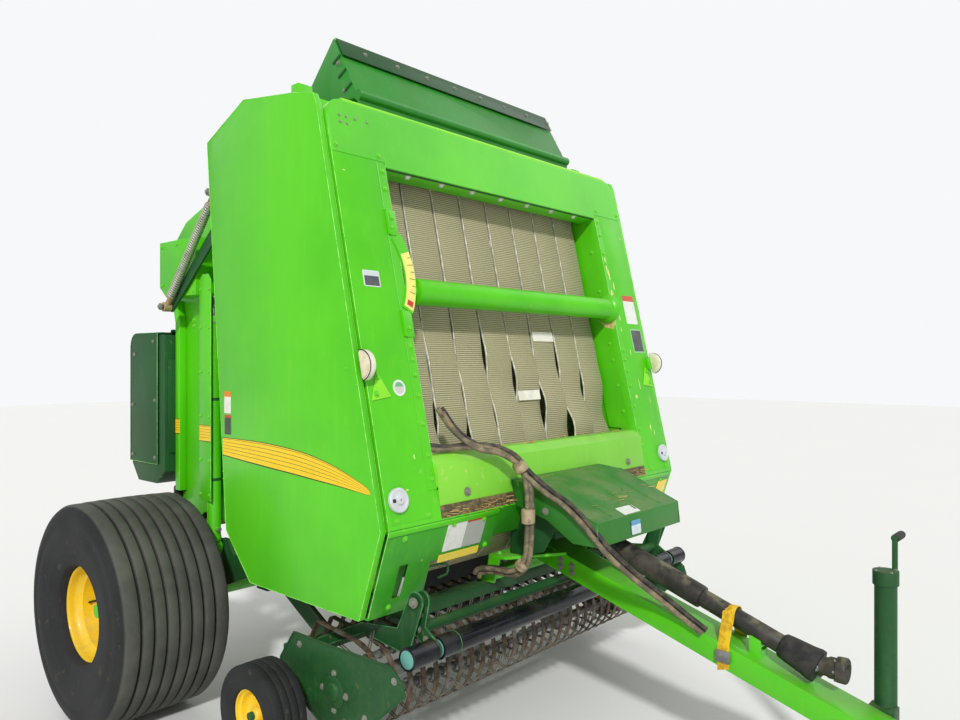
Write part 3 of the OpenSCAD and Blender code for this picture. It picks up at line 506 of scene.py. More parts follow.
class Grove(Patch):
    # one Geometry Nodes tree: its sizes come in by name, and the material last
    def __init__(self, name):
        self.tree = bpy.data.node_groups.new(name, "GeometryNodeTree")
        for way in ("INPUT", "OUTPUT"):
            self.tree.interface.new_socket("Geometry", in_out=way, socket_type="NodeSocketGeometry")
        self.source = self.add("NodeGroupInput", {}, {}, "Geometry")

    def size(self, name, kind="Float"):
        self.tree.interface.new_socket(name, in_out="INPUT", socket_type="NodeSocket" + kind)
        return self.add("NodeGroupInput", {}, {}, name)

    def vector(self, x, y, z):
        return self.add("ShaderNodeCombineXYZ", {}, {0: x, 1: y, 2: z})

    def done(self, shape):
        solid = self.add("GeometryNodeRealizeInstances", {}, {0: shape})
        coated = self.add("GeometryNodeSetMaterial", {},
                          {"Geometry": solid, "Material": self.size("Finish", "Material")})
        self.add("NodeGroupOutput", {}, {"Geometry": coated}, None)
        return self


def tubeGrove():
    # a round tube along the source's line of edges
    g = Grove("tubeAlongLine")
    ring = g.add("GeometryNodeCurvePrimitiveCircle", {},
                 {"Resolution": g.size("Sides", "Int"), "Radius": g.size("Radius")})
    line = g.add("GeometryNodeMeshToCurve", {}, {0: g.source})
    return g.done(g.add("GeometryNodeCurveToMesh", {},
                        {"Curve": line, "Profile Curve": ring, "Fill Caps": True}))


def rowGrove():
    # copies of the source, each one Step further than the last
    g = Grove("rowOfPieces")
    line = g.add("GeometryNodeMeshLine", {}, {"Count": g.size("Count", "Int"),
                                              "Start Location": g.size("Start", "Vector"),
                                              "Offset": g.size("Step", "Vector")})
    return g.done(g.add("GeometryNodeInstanceOnPoints", {}, {"Points": line, "Instance": g.source}))


def boltGrove():
    # a bolt head on its washer at each point, looking along the point's facing
    g = Grove("boltHeads")
    radius, sides = g.size("Radius"), g.size("Sides", "Int")
    facing = g.add("GeometryNodeInputNamedAttribute", {"data_type": "FLOAT_VECTOR"}, {"Name": "facing"})
    aim = g.add("FunctionNodeAlignRotationToVector", {"axis": "Z"}, {"Vector": facing})
    spin = g.add("FunctionNodeRandomValue", {"data_type": "FLOAT"}, {2: 0.0, 3: 6.28, "Seed": 5}, 1)
    turned = g.add("FunctionNodeRotateRotation", {"rotation_space": "LOCAL"},
                   {0: aim, 1: g.vector(0.0, 0.0, spin)})
    washer = g.add("GeometryNodeMeshCylinder", {}, {"Vertices": 14, "Radius": radius * 1.55,
                                                    "Depth": radius * 0.5})
    head = g.add("GeometryNodeMeshCone", {}, {"Vertices": sides, "Radius Bottom": radius,
                                              "Radius Top": radius * 0.86, "Depth": radius * 0.75})
    raised = g.add("GeometryNodeTransform", {}, {0: head, "Translation": g.vector(0.0, 0.0, radius * 0.22)})
    bolt = g.add("GeometryNodeJoinGeometry", {}, {0: [washer, raised]})
    return g.done(g.add("GeometryNodeInstanceOnPoints", {},
                        {"Points": g.source, "Instance": bolt, "Rotation": turned}))


def coilGrove():
    # a wound wire, from the source's place along its own z
    g = Grove("woundWire")
    radius = g.size("Radius")
    spiral = g.add("GeometryNodeCurveSpiral", {}, {"Resolution": 14, "Rotations": g.size("Turns"),
                                                   "Start Radius": radius, "End Radius": radius,
                                                   "Height": g.size("Length")})
    wire = g.add("GeometryNodeCurvePrimitiveCircle", {}, {"Resolution": 7, "Radius": g.size("Wire")})
    coil = g.add("GeometryNodeCurveToMesh", {}, {"Curve": spiral, "Profile Curve": wire, "Fill Caps": True})
    return g.done(g.add("GeometryNodeTransform", {}, {0: coil, "Translation": g.size("Place", "Vector"),
                                                      "Rotation": g.size("Lean", "Vector")}))


def strawGrove():
    # bent stalks strewn over the source's faces
    g = Grove("strewnStalks")
    seed = g.size("Seed", "Int")
    spots = g.add("GeometryNodeDistributePointsOnFaces", {},
                  {"Mesh": g.source, "Density": g.size("Density"), "Seed": seed})
    bend = g.add("GeometryNodeCurveArc", {}, {"Resolution": 5, "Radius": 0.07, "Sweep Angle": 0.9})
    ring = g.add("GeometryNodeCurvePrimitiveCircle", {}, {"Resolution": 3, "Radius": g.size("Thickness")})
    stalk = g.add("GeometryNodeCurveToMesh", {}, {"Curve": bend, "Profile Curve": ring})
    centred = g.add("GeometryNodeTransform", {}, {0: stalk, "Translation": (-0.06, -0.03, 0.0)})
    turn = g.add("FunctionNodeRandomValue", {"data_type": "FLOAT_VECTOR"},
                 {0: (-0.3, -0.3, 0.0), 1: (0.3, 0.3, 6.28), "Seed": seed})
    grow = g.add("FunctionNodeRandomValue", {"data_type": "FLOAT"}, {2: 0.35, 3: 1.25, "Seed": seed}, 1)
    return g.done(g.add("GeometryNodeInstanceOnPoints", {},
                        {"Points": spots, "Instance": centred, "Rotation": turn, "Scale": grow}))


grove = {"tube": tubeGrove(), "row": rowGrove(), "bolts": boltGrove(), "coil": coilGrove(),
         "straw": strawGrove()}


def grown(name, mesh, tree, material, *stoodFor, smooth=35, body="root", slot=None, **sizes):
    # the tree's result on a source mesh, kept as a plain mesh on its body
    piece = bpy.data.objects.new(name, mesh)
    bpy.context.scene.collection.objects.link(piece)
    modifier = piece.modifiers.new("grow", "NODES")
    modifier.node_group = grove[tree].tree
    sizes["Finish"] = finish[material]
    for item in grove[tree].tree.interface.items_tree:
        if item.in_out == "INPUT" and item.name in sizes:
            modifier[item.identifier] = sizes[item.name]
    applyAll(piece)
    shadeByAngle(piece.data, smooth)
    return enrol(piece, stoodFor, body)


def tubeAlong(name, points, radius, material, *stoodFor, sides=12, body="root", slot=None):
    # points in the machine's millimetres
    line = meshOf(name, [spot(*p) for p in points], [], [(i, i + 1) for i in range(len(points) - 1)])
    return grown(name, line, "tube", material, *stoodFor, smooth=50, Radius=radius / 1000, Sides=sides,
                 body=body, slot=slot)


def boltsAt(name, places, facing, radius, material, sides=6, body="root", slot=None):
    # places in the machine's millimetres, all looking along facing
    mesh = meshOf(name, [spot(*p) for p in places], [])
    layer = mesh.attributes.new("facing", "FLOAT_VECTOR", "POINT")
    layer.data.foreach_set("vector", [*facing] * len(places))
    return grown(name, mesh, "bolts", material, Radius=radius / 1000, Sides=sides, body=body, slot=slot)


def sideBolts(name, x, spots, radius, material, sides=6, **others):
    # bolts on an upright wall at x that look away from the middle: spots are (y, z)
    boltsAt(name, [(x, y, z) for y, z in spots], (math.copysign(1, x), 0, 0), radius, material, sides,
            **others)


class Shape:
    # simple solids gathered into one mesh, in the machine's millimetres
    def __init__(self):
        self.points, self.faces = [], []

    def skin(self, rings, caps=True, closed=False):
        # faces between rings of equal count, closed at both ends
        first, n = len(self.points), len(rings[0])
        for ring in rings:
            self.points += [Vector(p) for p in ring]
        spans = len(rings) if closed else len(rings) - 1
        for i in range(spans):
            for j in range(n):
                a, b = first + i * n, first + (i + 1) % len(rings) * n
                self.faces.append((a + j, a + (j + 1) % n, b + (j + 1) % n, b + j))
        if caps and not closed:
            self.faces.append([first + j for j in reversed(range(n))])
            self.faces.append([first + (len(rings) - 1) * n + j for j in range(n)])
        return self

    def slab(self, outline, depth):
        # an outline of points pushed along depth
        return self.skin([outline, [Vector(p) + Vector(depth) for p in outline]])

    def side(self, outline, x0, x1):
        # an outline in y and z from x0 to x1
        return self.slab([(x0, y, z) for y, z in outline], (x1 - x0, 0, 0))

    def box(self, low, high):
        return self.slab([(low[0], low[1], low[2]), (high[0], low[1], low[2]), (high[0], high[1], low[2]),
                          (low[0], high[1], low[2])], (0, 0, high[2] - low[2]))

    def turned(self, place, axis, profile, steps=24):
        # (distance along the axis, radius) from one closed end to the other
        axis = Vector(axis).normalized()
        across = axis.orthogonal().normalized()
        other = axis.cross(across)
        rings = []
        for along, r in profile:
            rings.append([Vector(place) + axis * along
                          + r * (across * math.cos(2 * math.pi * k / steps)
                                 + other * math.sin(2 * math.pi * k / steps)) for k in range(steps)])
        return self.skin(rings)

    def item(self, name):
        # about its own origin, in metres
        return outward(meshOf(name, [p / 1000 for p in self.points], self.faces))

    def made(self, name, material, *stoodFor, edge=0.0, smooth=35, segments=2, body="root", slot=None):
        mesh = outward(meshOf(name, [spot(*p) for p in self.points], self.faces))
        piece = newPiece(name, mesh, material, *stoodFor, body=body, slot=slot)
        if edge:
            roundOff(piece, edge, segments)
        shadeByAngle(piece.data, smooth)
        return piece


def mapped(mesh, flat):
    # gives the mesh a map with one place for each vertex
    layer = mesh.uv_layers.new(name="map")
    for loop in mesh.loops:
        layer.data[loop.index].uv = flat[loop.vertex_index]
    return mesh


def roundRect(width, height, radius, steps=4):
    # corners of a rounded rectangle about its middle
    corners = []
    for cx, cy, a in ((1, 1, 0), (-1, 1, 90), (-1, -1, 180), (1, -1, 270)):
        for i in range(steps + 1):
            t = math.radians(a + 90 * i / steps)
            corners.append((cx * (width / 2 - radius) + radius * math.cos(t),
                            cy * (height / 2 - radius) + radius * math.sin(t)))
    return corners


def plate(name, centre, right, up, size, material, radius=6, thick=1.6, body="root", slot=None):
    # a thin plate that lies on a surface: right and up are directions in it, size is width and height
    right, up = Vector(right).normalized(), Vector(up).normalized()
    out = right.cross(up)
    width, height = size
    ring = roundRect(width, height, radius)
    inner = roundRect(width - 1.6, height - 1.6, max(radius - 0.8, 0.4))
    levels = [(ring, -0.4), (ring, thick - 0.6), (inner, thick)]
    points = [Vector(centre) + right * x + up * y + out * d for outline, d in levels for x, y in outline]
    n = len(ring)
    faces = [[j for j in reversed(range(n))], [2 * n + j for j in range(n)]]
    for i in range(2):
        faces += [(i * n + j, i * n + (j + 1) % n, (i + 1) * n + (j + 1) % n, (i + 1) * n + j)
                  for j in range(n)]
    flat = [(x / width + 0.5, y / height + 0.5) for outline, d in levels for x, y in outline]
    mesh = mapped(meshOf(name, [spot(*p) for p in points], faces), flat)
    return newPiece(name, mesh, material, body=body, slot=slot)


def panelY(z):
    # how far back the leaning front panel's face is at this height
    return (z - foldZ) * math.tan(lean)


def onPanel(x, z, lift=0.0):
    # a place on the leaning front panel's face, lifted off it by so many millimetres
    return Vector((x, panelY(z) - lift * math.cos(lean), z + lift * math.sin(lean)))


def smoothRoute(points, k):
    # a soft curve through the points, k steps between two of them
    route = []
    for i in range(len(points) - 1):
        a, b, c, d = (Vector(points[max(0, min(j, len(points) - 1))]) for j in (i - 1, i, i + 1, i + 2))
        for s in range(k):
            t = s / k
            route.append(0.5 * (2 * b + (c - a) * t + (2 * a - 5 * b + 4 * c - d) * t * t
                                + (3 * b - a - 3 * c + d) * t ** 3))
    return route + [Vector(points[-1])]


hose = {"radius": 11, "routes": {
    "drop": [(-700, 88, 1500), (-640, 60, 1410), (-570, 15, 1350), (-480, -30, 1325), (-410, -80, 1270),
             (-385, -110, 1190), (-380, -115, 1080), (-378, -110, 960), (-376, -90, 860), (-376, -20, 805),
             (-376, 80, 800), (-376, 160, 785), (-376, 180, 762)],
    "sill": [(-755, 128, 1350), (-700, 84, 1340), (-620, 40, 1346), (-520, -10, 1338), (-440, -62, 1298),
             (-400, -112, 1225), (-372, -190, 1160), (-358, -280, 1110), (-352, -370, 1040),
             (-330, -450, 950), (-250, -520, 850), (-160, -590, 760), (-110, -660, 690), (-94, -740, 640)]}}


def buildHose(name, route, shift, material, *stoodFor):
    path = [p + Vector(shift) for p in smoothRoute(hose["routes"][route], 4)]
    piece = tubeAlong(name, path, hose["radius"], material, *stoodFor, sides=10)
    line = [spot(*p) for p in path]
    return path


dropPath = buildHose("hose_drop_a", "drop", (-11, 0, 6), "hose", "hose_bundle")
buildHose("hose_drop_b", "drop", (12, 0, 6), "hoseBlack")
buildHose("hose_drop_c", "drop", (1, -13, -10), "hose")
buildHose("hose_sill_a", "sill", (0, 0, 0), "hose")
buildHose("hose_sill_b", "sill", (20, -8, 10), "hoseBlack")
wraps = Shape()
for index, length, wide in ((17, 46, 29), (25, 60, 29), (33, 30, 27)):
    a, b = dropPath[index], dropPath[index + 1]
    wraps.turned(a + Vector((0, -3, 0)), b - a, [(-length / 2, wide - 5), (-length / 2 + 4, wide),
                                                 (length / 2 - 4, wide), (length / 2, wide - 5)], 20)
wraps.made("hose_wraps", "tan", smooth=50)
print("hoses laid")

# Sheets and castings keep their own form and only get rounded edges: node, finish, edge radius in mm
roundedNodes = [
    ("axle", "paint", 0), ("main_frame", "dark", 3), ("tongue", "paint", 5), ("hitch_clevis", "dark", 5),
    ("jack_sleeve", "dark", 3), ("jack_leg", "steel", 2), ("gearbox", "dark", 6),
    ("front_frame", "paint", 2), ("lower_fascia", "fascia", 2), ("window_sill", "sillPaint", 3),
    ("visor", "visorPaint", 2), ("chamber_wall_right", "paint", 2), ("chamber_wall_left", "paint", 2),
    ("top_cover", "paint", 2), ("tension_tube", "paint", 2), ("spring_levers", "dark", 2),
    ("shield_right", "paintClean", 5), ("shield_left", "paintClean", 5), ("gate_frame", "paint", 3),
    ("gate_boxes", "paint", 5), ("net_box", "dark", 4), ("net_lid", "dark", 2),
    ("barrel_right", "paint", 3), ("barrel_left", "paint", 3), ("pickup_frame", "dark", 3),
    ("windguard", "dark", 3), ("gearbox_hood", "paintDustyAndShaded", 3), ("fixed_rolls", "steel", 3),
    ("gate_rolls", "steel", 3), ("feed_rotor", "rust", 1), ("rod_right", "chrome", 2),
    ("rod_left", "chrome", 2),
]


def slotOf(node):
    return next(s["material_slot"] for s in frame["record"]["subparts"] if s["node"] == node)


def bodyOf(node):
    return next(b for b, members in frame["record"]["behaviour"]["bodies"].items() if node in members)


def roundEdges(node, material, radius):
    mesh = frame["nodes"][node].data.copy()
    bm = bmesh.new()
    bm.from_mesh(mesh)
    bmesh.ops.remove_doubles(bm, verts=bm.verts, dist=0.00001)
    bmesh.ops.dissolve_limit(bm, angle_limit=math.radians(0.4), verts=bm.verts, edges=bm.edges)
    bm.to_mesh(mesh)
    bm.free()
    piece = newPiece(node + "_dressed", mesh, material, node, body=bodyOf(node), slot=slotOf(node))
    if radius:
        roundOff(piece, radius)
    shadeByAngle(piece.data, 40)


for node, material, radius in roundedNodes:
    roundEdges(node, material, radius)
print("rounded pieces:", len(roundedNodes))


def lathe(name, profile, centre, steps, side=1):
    # profile is (x, radius) in mm from the outer end to the inner one; the axis runs along x
    points, faces = [], []
    n = len(profile)
    for k in range(steps):
        a = 2 * math.pi * k / steps
        for x, r in profile:
            points.append(spot(centre[0] + side * x, centre[1] + r * math.cos(a),
                               centre[2] + r * math.sin(a)))
    for k in range(steps):
        for j in range(n - 1):
            a, b = k * n + j, ((k + 1) % steps) * n + j
            faces.append((a, a + 1, b + 1, b))
    closed = profile[0] == profile[-1]
    if not closed:
        faces.append([k * n for k in range(steps)])
        faces.append([k * n + n - 1 for k in range(steps)])
    return outward(meshOf(name, points, faces))


wheel = {"x": 1212, "y": 1700, "z": 515, "tyre": 1030, "width": 530, "rim": 445, "ribs": 8, "groove": 16,
         "steps": 128, "nuts": 8}
gauge = {"x": 1218, "y": 540, "z": 335, "tyre": 390, "width": 150, "rim": 206, "ribs": 4, "groove": 7,
         "steps": 72, "nuts": 4}


def tyreProfile(t):
    # outer wall from the bead up, ribs across the tread, and down the inner wall
    half, top, bead = t["width"] / 2, t["tyre"] / 2, t["rim"] / 2
    wall = top - bead
    s = t["width"] / 530
    sideUp = [(half * 0.72, bead), (half * 0.86, bead + 6 * s), (half * 0.90, bead + 16 * s),
              (half * 0.905, bead + wall * 0.16), (half * 0.955, bead + wall * 0.26),
              (half * 0.957, bead + wall * 0.29), (half * 0.985, bead + wall * 0.40),
              (half, bead + wall * 0.53), (half * 0.998, bead + wall * 0.62),
              (half * 0.982, bead + wall * 0.71), (half * 0.992, bead + wall * 0.73),
              (half * 0.985, bead + wall * 0.80), (half * 0.962, bead + wall * 0.89),
              (half * 0.925, bead + wall * 0.95), (half * 0.87, bead + wall * 0.985)]
    ribSpan = half * 1.74
    pitch = ribSpan / t["ribs"]
    g = t["groove"]
    tread = []
    for i in range(t["ribs"]):
        left = half * 0.87 - i * pitch
        right = left - pitch
        crown = top - 5 * s * ((i + 0.5 - t["ribs"] / 2) / (t["ribs"] / 2)) ** 2
        if i:
            tread += [(left - g * 0.34, crown - g * 0.95), (left - g * 0.44, crown - g * 0.12),
                      (left - g * 0.64, crown)]
        if i < t["ribs"] - 1:
            tread += [(left - pitch * 0.5, crown + 0.4), (right + g * 0.64, crown),
                      (right + g * 0.44, crown - g * 0.12), (right + g * 0.34, crown - g * 0.95)]
    sideDown = [(-x, r) for x, r in reversed(sideUp)]
    inner = [(-half * 0.66, bead + 0.4), (half * 0.66, bead + 0.4)]
    return sideUp + tread + sideDown + inner + [sideUp[0]]


def buildTyre(name, t, side, body, node):
    mesh = lathe(name, tyreProfile(t), (side * t["x"], t["y"], t["z"]), t["steps"], side)
    shadeByAngle(mesh, 50)
    return newPiece(name, mesh, "tyre", node, body=body)


def rimProfile(t, hubR):
    half, r = t["width"] / 2, t["rim"] / 2
    s = r / 222
    lip = [(half * 0.72, r - 14 * s), (half * 0.745, r - 10 * s), (half * 0.75, r - 2 * s),
           (half * 0.72, r - 0.5), (half * 0.66, r - 0.5), (-half * 0.66, r - 0.5), (-half * 0.72, r - 0.5),
           (-half * 0.75, r - 2 * s), (-half * 0.745, r - 10 * s), (-half * 0.72, r - 14 * s),
           (-half * 0.66, r - 13 * s), (-half * 0.50, r - 22 * s), (-half * 0.46, r - 44 * s),
           (half * 0.08, r - 50 * s)]
    disc = [(half * 0.10, r * 0.72), (half * 0.02, r * 0.60), (half * 0.05, r * 0.48),
            (half * 0.05, hubR * 1.15), (half * 0.0, hubR), (half * 0.0, hubR * 0.5),
            (half * 0.05, hubR * 0.5)]
    front = [(half * 0.10, hubR * 0.5), (half * 0.10, hubR * 1.16), (half * 0.12, r * 0.5),
             (half * 0.09, r * 0.61), (half * 0.17, r * 0.74), (half * 0.30, r - 44 * s),
             (half * 0.52, r - 38 * s), (half * 0.58, r - 20 * s), (half * 0.66, r - 13 * s)]
    return lip + disc + front + [lip[0]]


def buildRim(name, t, hubR, side, body, *nodes):
    centre = (side * t["x"], t["y"], t["z"])
    mesh = lathe(name, rimProfile(t, hubR), centre, 96, side)
    shadeByAngle(mesh, 40)
    rim = newPiece(name, mesh, "yellow", *nodes, body=body)
    half = t["width"] / 2
    cap = [(half * 0.10, hubR * 0.98), (half * 0.13, hubR * 0.96), (half * 0.26, hubR * 0.74),
           (half * 0.30, hubR * 0.68), (half * 0.335, hubR * 0.4), (half * 0.34, hubR * 0.02)]
    back = [(half * -0.04, hubR * 0.02), (half * -0.04, hubR * 0.98)]
    hub = lathe(name + "_hub", cap + back + [cap[0]], centre, 48, side)
    shadeByAngle(hub, 40)
    newPiece(name + "_hub", hub, "yellow", body=body)
    return rim


for sideName, side in (("right", -1), ("left", 1)):
    buildTyre("tyre_" + sideName + "_ribbed", wheel, side, "wheel_" + sideName, "tyre_" + sideName)
    buildRim("rim_" + sideName + "_dished", wheel, 92, side, "wheel_" + sideName, "rim_" + sideName)
    buildTyre("gauge_tyre_" + sideName, gauge, side, "gauge_" + sideName, "gauge_" + sideName)
    buildRim("gauge_rim_" + sideName, gauge, 40, side, "gauge_" + sideName)
print("wheels built")


def beltRoute(rolls, step):
    # closed path round the rolls (y, z, radius, +1 or -1 for the way round): (y, z, outward y, outward z)
    route = []
    n = len(rolls)

    def heading(i):
        (ay, az, ar, aw), (by, bz, br, bw) = rolls[i % n], rolls[(i + 1) % n]
        span = math.hypot(by - ay, bz - az)
        return math.atan2(bz - az, by - ay) + math.asin((aw * ar - bw * br) / span)

    for i in range(n):
        y, z, r, way = rolls[i]
        came, goes = heading(i - 1), heading(i)
        swing = (goes - came + math.pi) % (2 * math.pi) - math.pi
        if swing * way < 0:
            swing += 2 * math.pi * way
        turns = max(1, round(abs(swing) / math.radians(9)))
        for k in range(turns + 1):
            t = came + swing * k / turns
            right = Vector((math.sin(t), -math.cos(t)))
            route.append((y + way * r * right.x, z + way * r * right.y, -right.x, -right.y))
        y2, z2, r2, way2 = rolls[(i + 1) % n]
        right = Vector((math.sin(goes), -math.cos(goes)))
        a = Vector((y, z)) + way * r * right
        b = Vector((y2, z2)) + way2 * r2 * right
        cuts = max(1, round((b - a).length / step))
        for k in range(1, cuts):
            p = a.lerp(b, k / cuts)
            route.append((p.x, p.y, -right.x, -right.y))
    return route


belts = {"count": 8, "pitch": 189.5, "gap": 11.5, "thick": 8,
         "front": [(565, 2610, 60.4, -1), (265, 950, 130.4, -1)],
         "gate": [(1480, 2480, 50.4, -1), (1800, 2000, 50.4, -1), (1800, 860, 50.4, -1), (1702, 2020, 42, 1)]}


def beltWave(index, y, z):
    # slack of a front belt's leading run, more towards its foot
    if y > 520 or not 1000 < z < 2450:
        return 0.0
    low = max(0.0, min(1.0, (1900 - z) / 500)) * max(0.0, min(1.0, (z - 1000) / 150))
    return low * (14 * math.sin(z / 86 + index * 1.9)
                  + 9 * math.sin(z / 47 + index * 2.7)) + low * 6 * math.cos(index * 2.1)


def buildBelts(name, key, step, body, node):
    route = beltRoute(belts[key], step)
    gone = [0.0]
    for a, b in zip(route, route[1:] + route[:1]):
        gone.append(gone[-1] + math.hypot(b[0] - a[0], b[1] - a[1]) / 1000)
    wide = belts["pitch"] - belts["gap"]
    across = [0.0, 0.02, 0.5, 0.98, 1.0]
    lift = [belts["thick"] - 1.5, belts["thick"], belts["thick"], belts["thick"], belts["thick"] - 1.5]
    points, faces, flat = [], [], []
    for i in range(belts["count"]):
        left = -belts["pitch"] * belts["count"] / 2 + belts["gap"] / 2 + i * belts["pitch"]
        first = len(points)
        ring = len(across) + 2
        for y, z, ny, nz in route:
            wave = beltWave(i, y, z) if key == "front" else 0.0
            skew = wave * 0.12
            for a, h in list(zip(across, lift)) + [(1.0, 0.0), (0.0, 0.0)]:
                off = h + 0.2 + wave * (1 + 0.35 * (a - 0.5) * math.sin(z / 120 + i))
                points.append((left + a * wide + skew, y + ny * off, z + nz * off))
        for k in range(len(route)):
            for j in range(ring):
                j2, k2 = (j + 1) % ring, (k + 1) % len(route)
                faces.append((first + k * ring + j, first + k2 * ring + j, first + k2 * ring + j2,
                              first + k * ring + j2))
                va, vb = ([*across, 1.0, 0.0][j], [*across, 1.0, 0.0][j2])
                flat += [(gone[k], va), (gone[k + 1], va), (gone[k + 1], vb), (gone[k], vb)]
    mesh = meshOf(name, [spot(*p) for p in points], faces)
    layer = mesh.uv_layers.new(name="beltMap")
    for loop, uv in zip(layer.data, flat):
        loop.uv = uv
    piece = newPiece(name, mesh, "belt", node, body=body)
    shadeByAngle(mesh, 40)
    return piece


buildBelts("front_belts_woven", "front", 26, "root", "front_belts")
buildBelts("gate_belts_woven", "gate", 60, "gate", "gate_belts")


def frontRun(z):
    # y of the front belts' leading face
    return 127 + 0.2229 * (z - 950) - 3


for name, x, z in (("high", 284.5, 1817), ("low", 95, 1528)):
    index = round(x / belts["pitch"] + (belts["count"] - 1) / 2)
    dip = beltWave(index, frontRun(z), z)
    clip = Shape().slab([(x - 84, frontRun(z - 24) - dip - 1, z - 24),
                         (x - 70, frontRun(z - 24) - dip - 1, z - 24),
                         (x - 70, frontRun(z + 24) - dip - 1, z + 24),
                         (x - 84, frontRun(z + 24) - dip - 1, z + 24)], (0, -4, 0.9))
    grown("belt_clips_" + name, clip.item(name), "row", "clip", Count=11, Start=(0.0, foldY, 0.0),
          Step=(0.0154, 0.0, 0.0))
print("belts woven")

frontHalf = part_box("front_frame")[1].x * 1000
sides = (("right", -1), ("left", 1))
upPanel = Vector((0, math.sin(lean), math.cos(lean)))
outPanel = Vector((0, -math.cos(lean), math.sin(lean)))
outFascia = Vector((0, -347, -118)).normalized()
upFascia = Vector((0, -118, 347)).normalized()


def onFascia(x, z, lift=0.0):
    # a place on the panel that turns back below the fold
    return Vector((x, (foldZ - z) * 118 / 347, z)) + outFascia * lift


def panelSlab(shape, corners, thick):
    # corners are (x, z) on the leaning panel's face
    return shape.slab([onPanel(x, z) for x, z in corners], outPanel * thick)


panel = {"strip": 44, "seamZ": 2512, "thick": 2.2, "headerZ": 2485.8}


def buildPanelTrim():
    # overlapped sheets round the window, with their bolts
    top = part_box("front_frame")[1].z * 1000
    sheets = Shape()
    for _, side in sides:
        panelSlab(sheets, [(side * windowHalf, 1200), (side * (windowHalf + panel["strip"]), 1200),
                           (side * (windowHalf + panel["strip"]), panel["seamZ"] - 4),
                           (side * windowHalf, windowTop)], panel["thick"])
        panelSlab(sheets, [(side * (windowHalf + panel["strip"]), 1100), (side * (frontHalf - 12), 1100),
                           (side * (frontHalf - 12), 1192), (side * (windowHalf + panel["strip"]), 1192)],
                  1.4)
    corner = [(math.cos(math.radians(a)), math.sin(math.radians(a))) for a in range(0, 91, 15)]
    r, half, peak = 82, frontHalf - 4, top - 12
    outline = [(half - r + r * c, peak - r + r * s) for c, s in corner]
    outline += [(-(half - r) - r * s, peak - r + r * c) for c, s in corner]
    panelSlab(sheets, [(-half, panel["seamZ"]), (-windowHalf, panel["seamZ"]), (-windowHalf, 2491),
                       (windowHalf, 2491), (windowHalf, panel["seamZ"]), (half, panel["seamZ"])] + outline,
              panel["thick"])
    sheets.made("panel_sheets", "paint", edge=0.8, segments=1)
    strip, spots = [], []
    for _, side in sides:
        x = side * (windowHalf + 22)
        strip += [onPanel(x, z, 2.2) for z in (1240, 1330, 1450, 1560, 1640, 1700, 1752, 2235, 2290, 2395,
                                               2470)]
        spots += [onPanel(side * (frontHalf - 22), 2540, 2), onPanel(side * (windowHalf + 30), 2534, 2),
                  onPanel(side * (frontHalf - 40), 1112, 1.4), onPanel(side * (windowHalf + 70), 1112, 1.4)]
    boltsAt("panel_strip_bolts", strip, outPanel, 7.5, "boltPaint", 12)
    boltsAt("panel_bolts", spots, outPanel, 8, "boltPaint")
    heads = [(x, panelY(windowTop) + 34, panel["headerZ"]) for x in [-622 + 207 * k for k in range(7)]]
    boltsAt("header_bolts", heads, (0, 0, -1), 12, "boltPale", 10)
    y = panelY(windowTop)
    # a dark sheet under the window's top edge: painted shade, with dirt
    header = Shape().box((-windowHalf + 1, y + 3, panel["headerZ"]), (windowHalf - 1, y + 88, 2488.4))
    header.made("header_shade_and_dirt", "dark")
    rivets = [onPanel(x, z, 0.2) for x, z in ((-985, 2668), (-950, 2668), (-905, 2668), (-842, 2668),
                                              (-985, 2640), (-950, 2640))]
    boltsAt("panel_rivets", rivets, outPanel, 6, "bolt", 10)


buildPanelTrim()


def buildSideTrim():
    # pale lines along the shields', panel's and window's edges: painted highlights where the rounded edges
    # catch the light, partly rubbed paint
    for name, side in sides:
        x, low = side * (bodyHalf - 0.5), bodyHalf - 26
        front = [(128, 742), (11, foldZ), (11 + panelY(2708), 2708)]
        outer = [(1194, 2686), (1142, 2141), (1083, 1520), (1033, 947), (843, 751), *front, (405, 2742),
                 (554, 2772), (896, 2818), (1194, 2686)]
        tubeAlong("shield_edge_outer_" + name, [(x, *p) for p in outer], 1.4, "paleEdgeHighlightAndWear", sides=6,
                  body="shield_" + name)
        tubeAlong("shield_edge_inner_" + name, [(side * low, y + 1, z) for y, z in front], 1.3, "paleEdgeHighlightAndWear",
                  sides=6, body="shield_" + name)
        tubeAlong("panel_edge_" + name, [onFascia(side * frontHalf, 745, -1),
                                         onPanel(side * frontHalf, 1082, -1),
                                         onPanel(side * frontHalf, 2600, -1)], 1.4, "paleEdgeHighlightAndWear", sides=6)
        tubeAlong("window_edge_" + name, [onPanel(side * windowHalf, 1215, 1.2),
                                          onPanel(side * windowHalf, windowTop, 1.2)], 1.3, "paleEdgeHighlightAndWear",
                  sides=6)


buildSideTrim()

stripe = {"lift": 0.6}


def stripeMesh(name, top, foot, x, side):
    # a strip between two lines of (y, z); its map runs along it and across it
    n = 28

    def along(line, t):
        gone = t * (len(line) - 1)
        i = min(int(gone), len(line) - 2)
        return Vector(line[i]).lerp(Vector(line[i + 1]), gone - i)

    points, faces, flat = [], [], []
    for layerX in (x, x + side * stripe["lift"]):
        for k in range(n + 1):
            for line, v in ((foot, 0.0), (top, 1.0)):
                p = along(line, k / n)
                points.append(spot(layerX, p.x, p.y))
                flat.append((k / n, v))
    m = 2 * (n + 1)
    for k in range(n):
        a = 2 * k
        faces += [(m + a, m + a + 1, m + a + 3, m + a + 2), (a, a + 2, a + 3, a + 1),
                  (a, m + a, m + a + 2, a + 2), (a + 1, a + 3, m + a + 3, m + a + 1)]
    faces += [(0, 1, m + 1, m), (2 * n, m + 2 * n, m + 2 * n + 1, 2 * n + 1)]
    return mapped(outward(meshOf(name, points, faces)), flat)


def smoothLine(points, k=6):
    return [(p.x, p.y) for p in smoothRoute([(*q, 0) for q in points], k)]


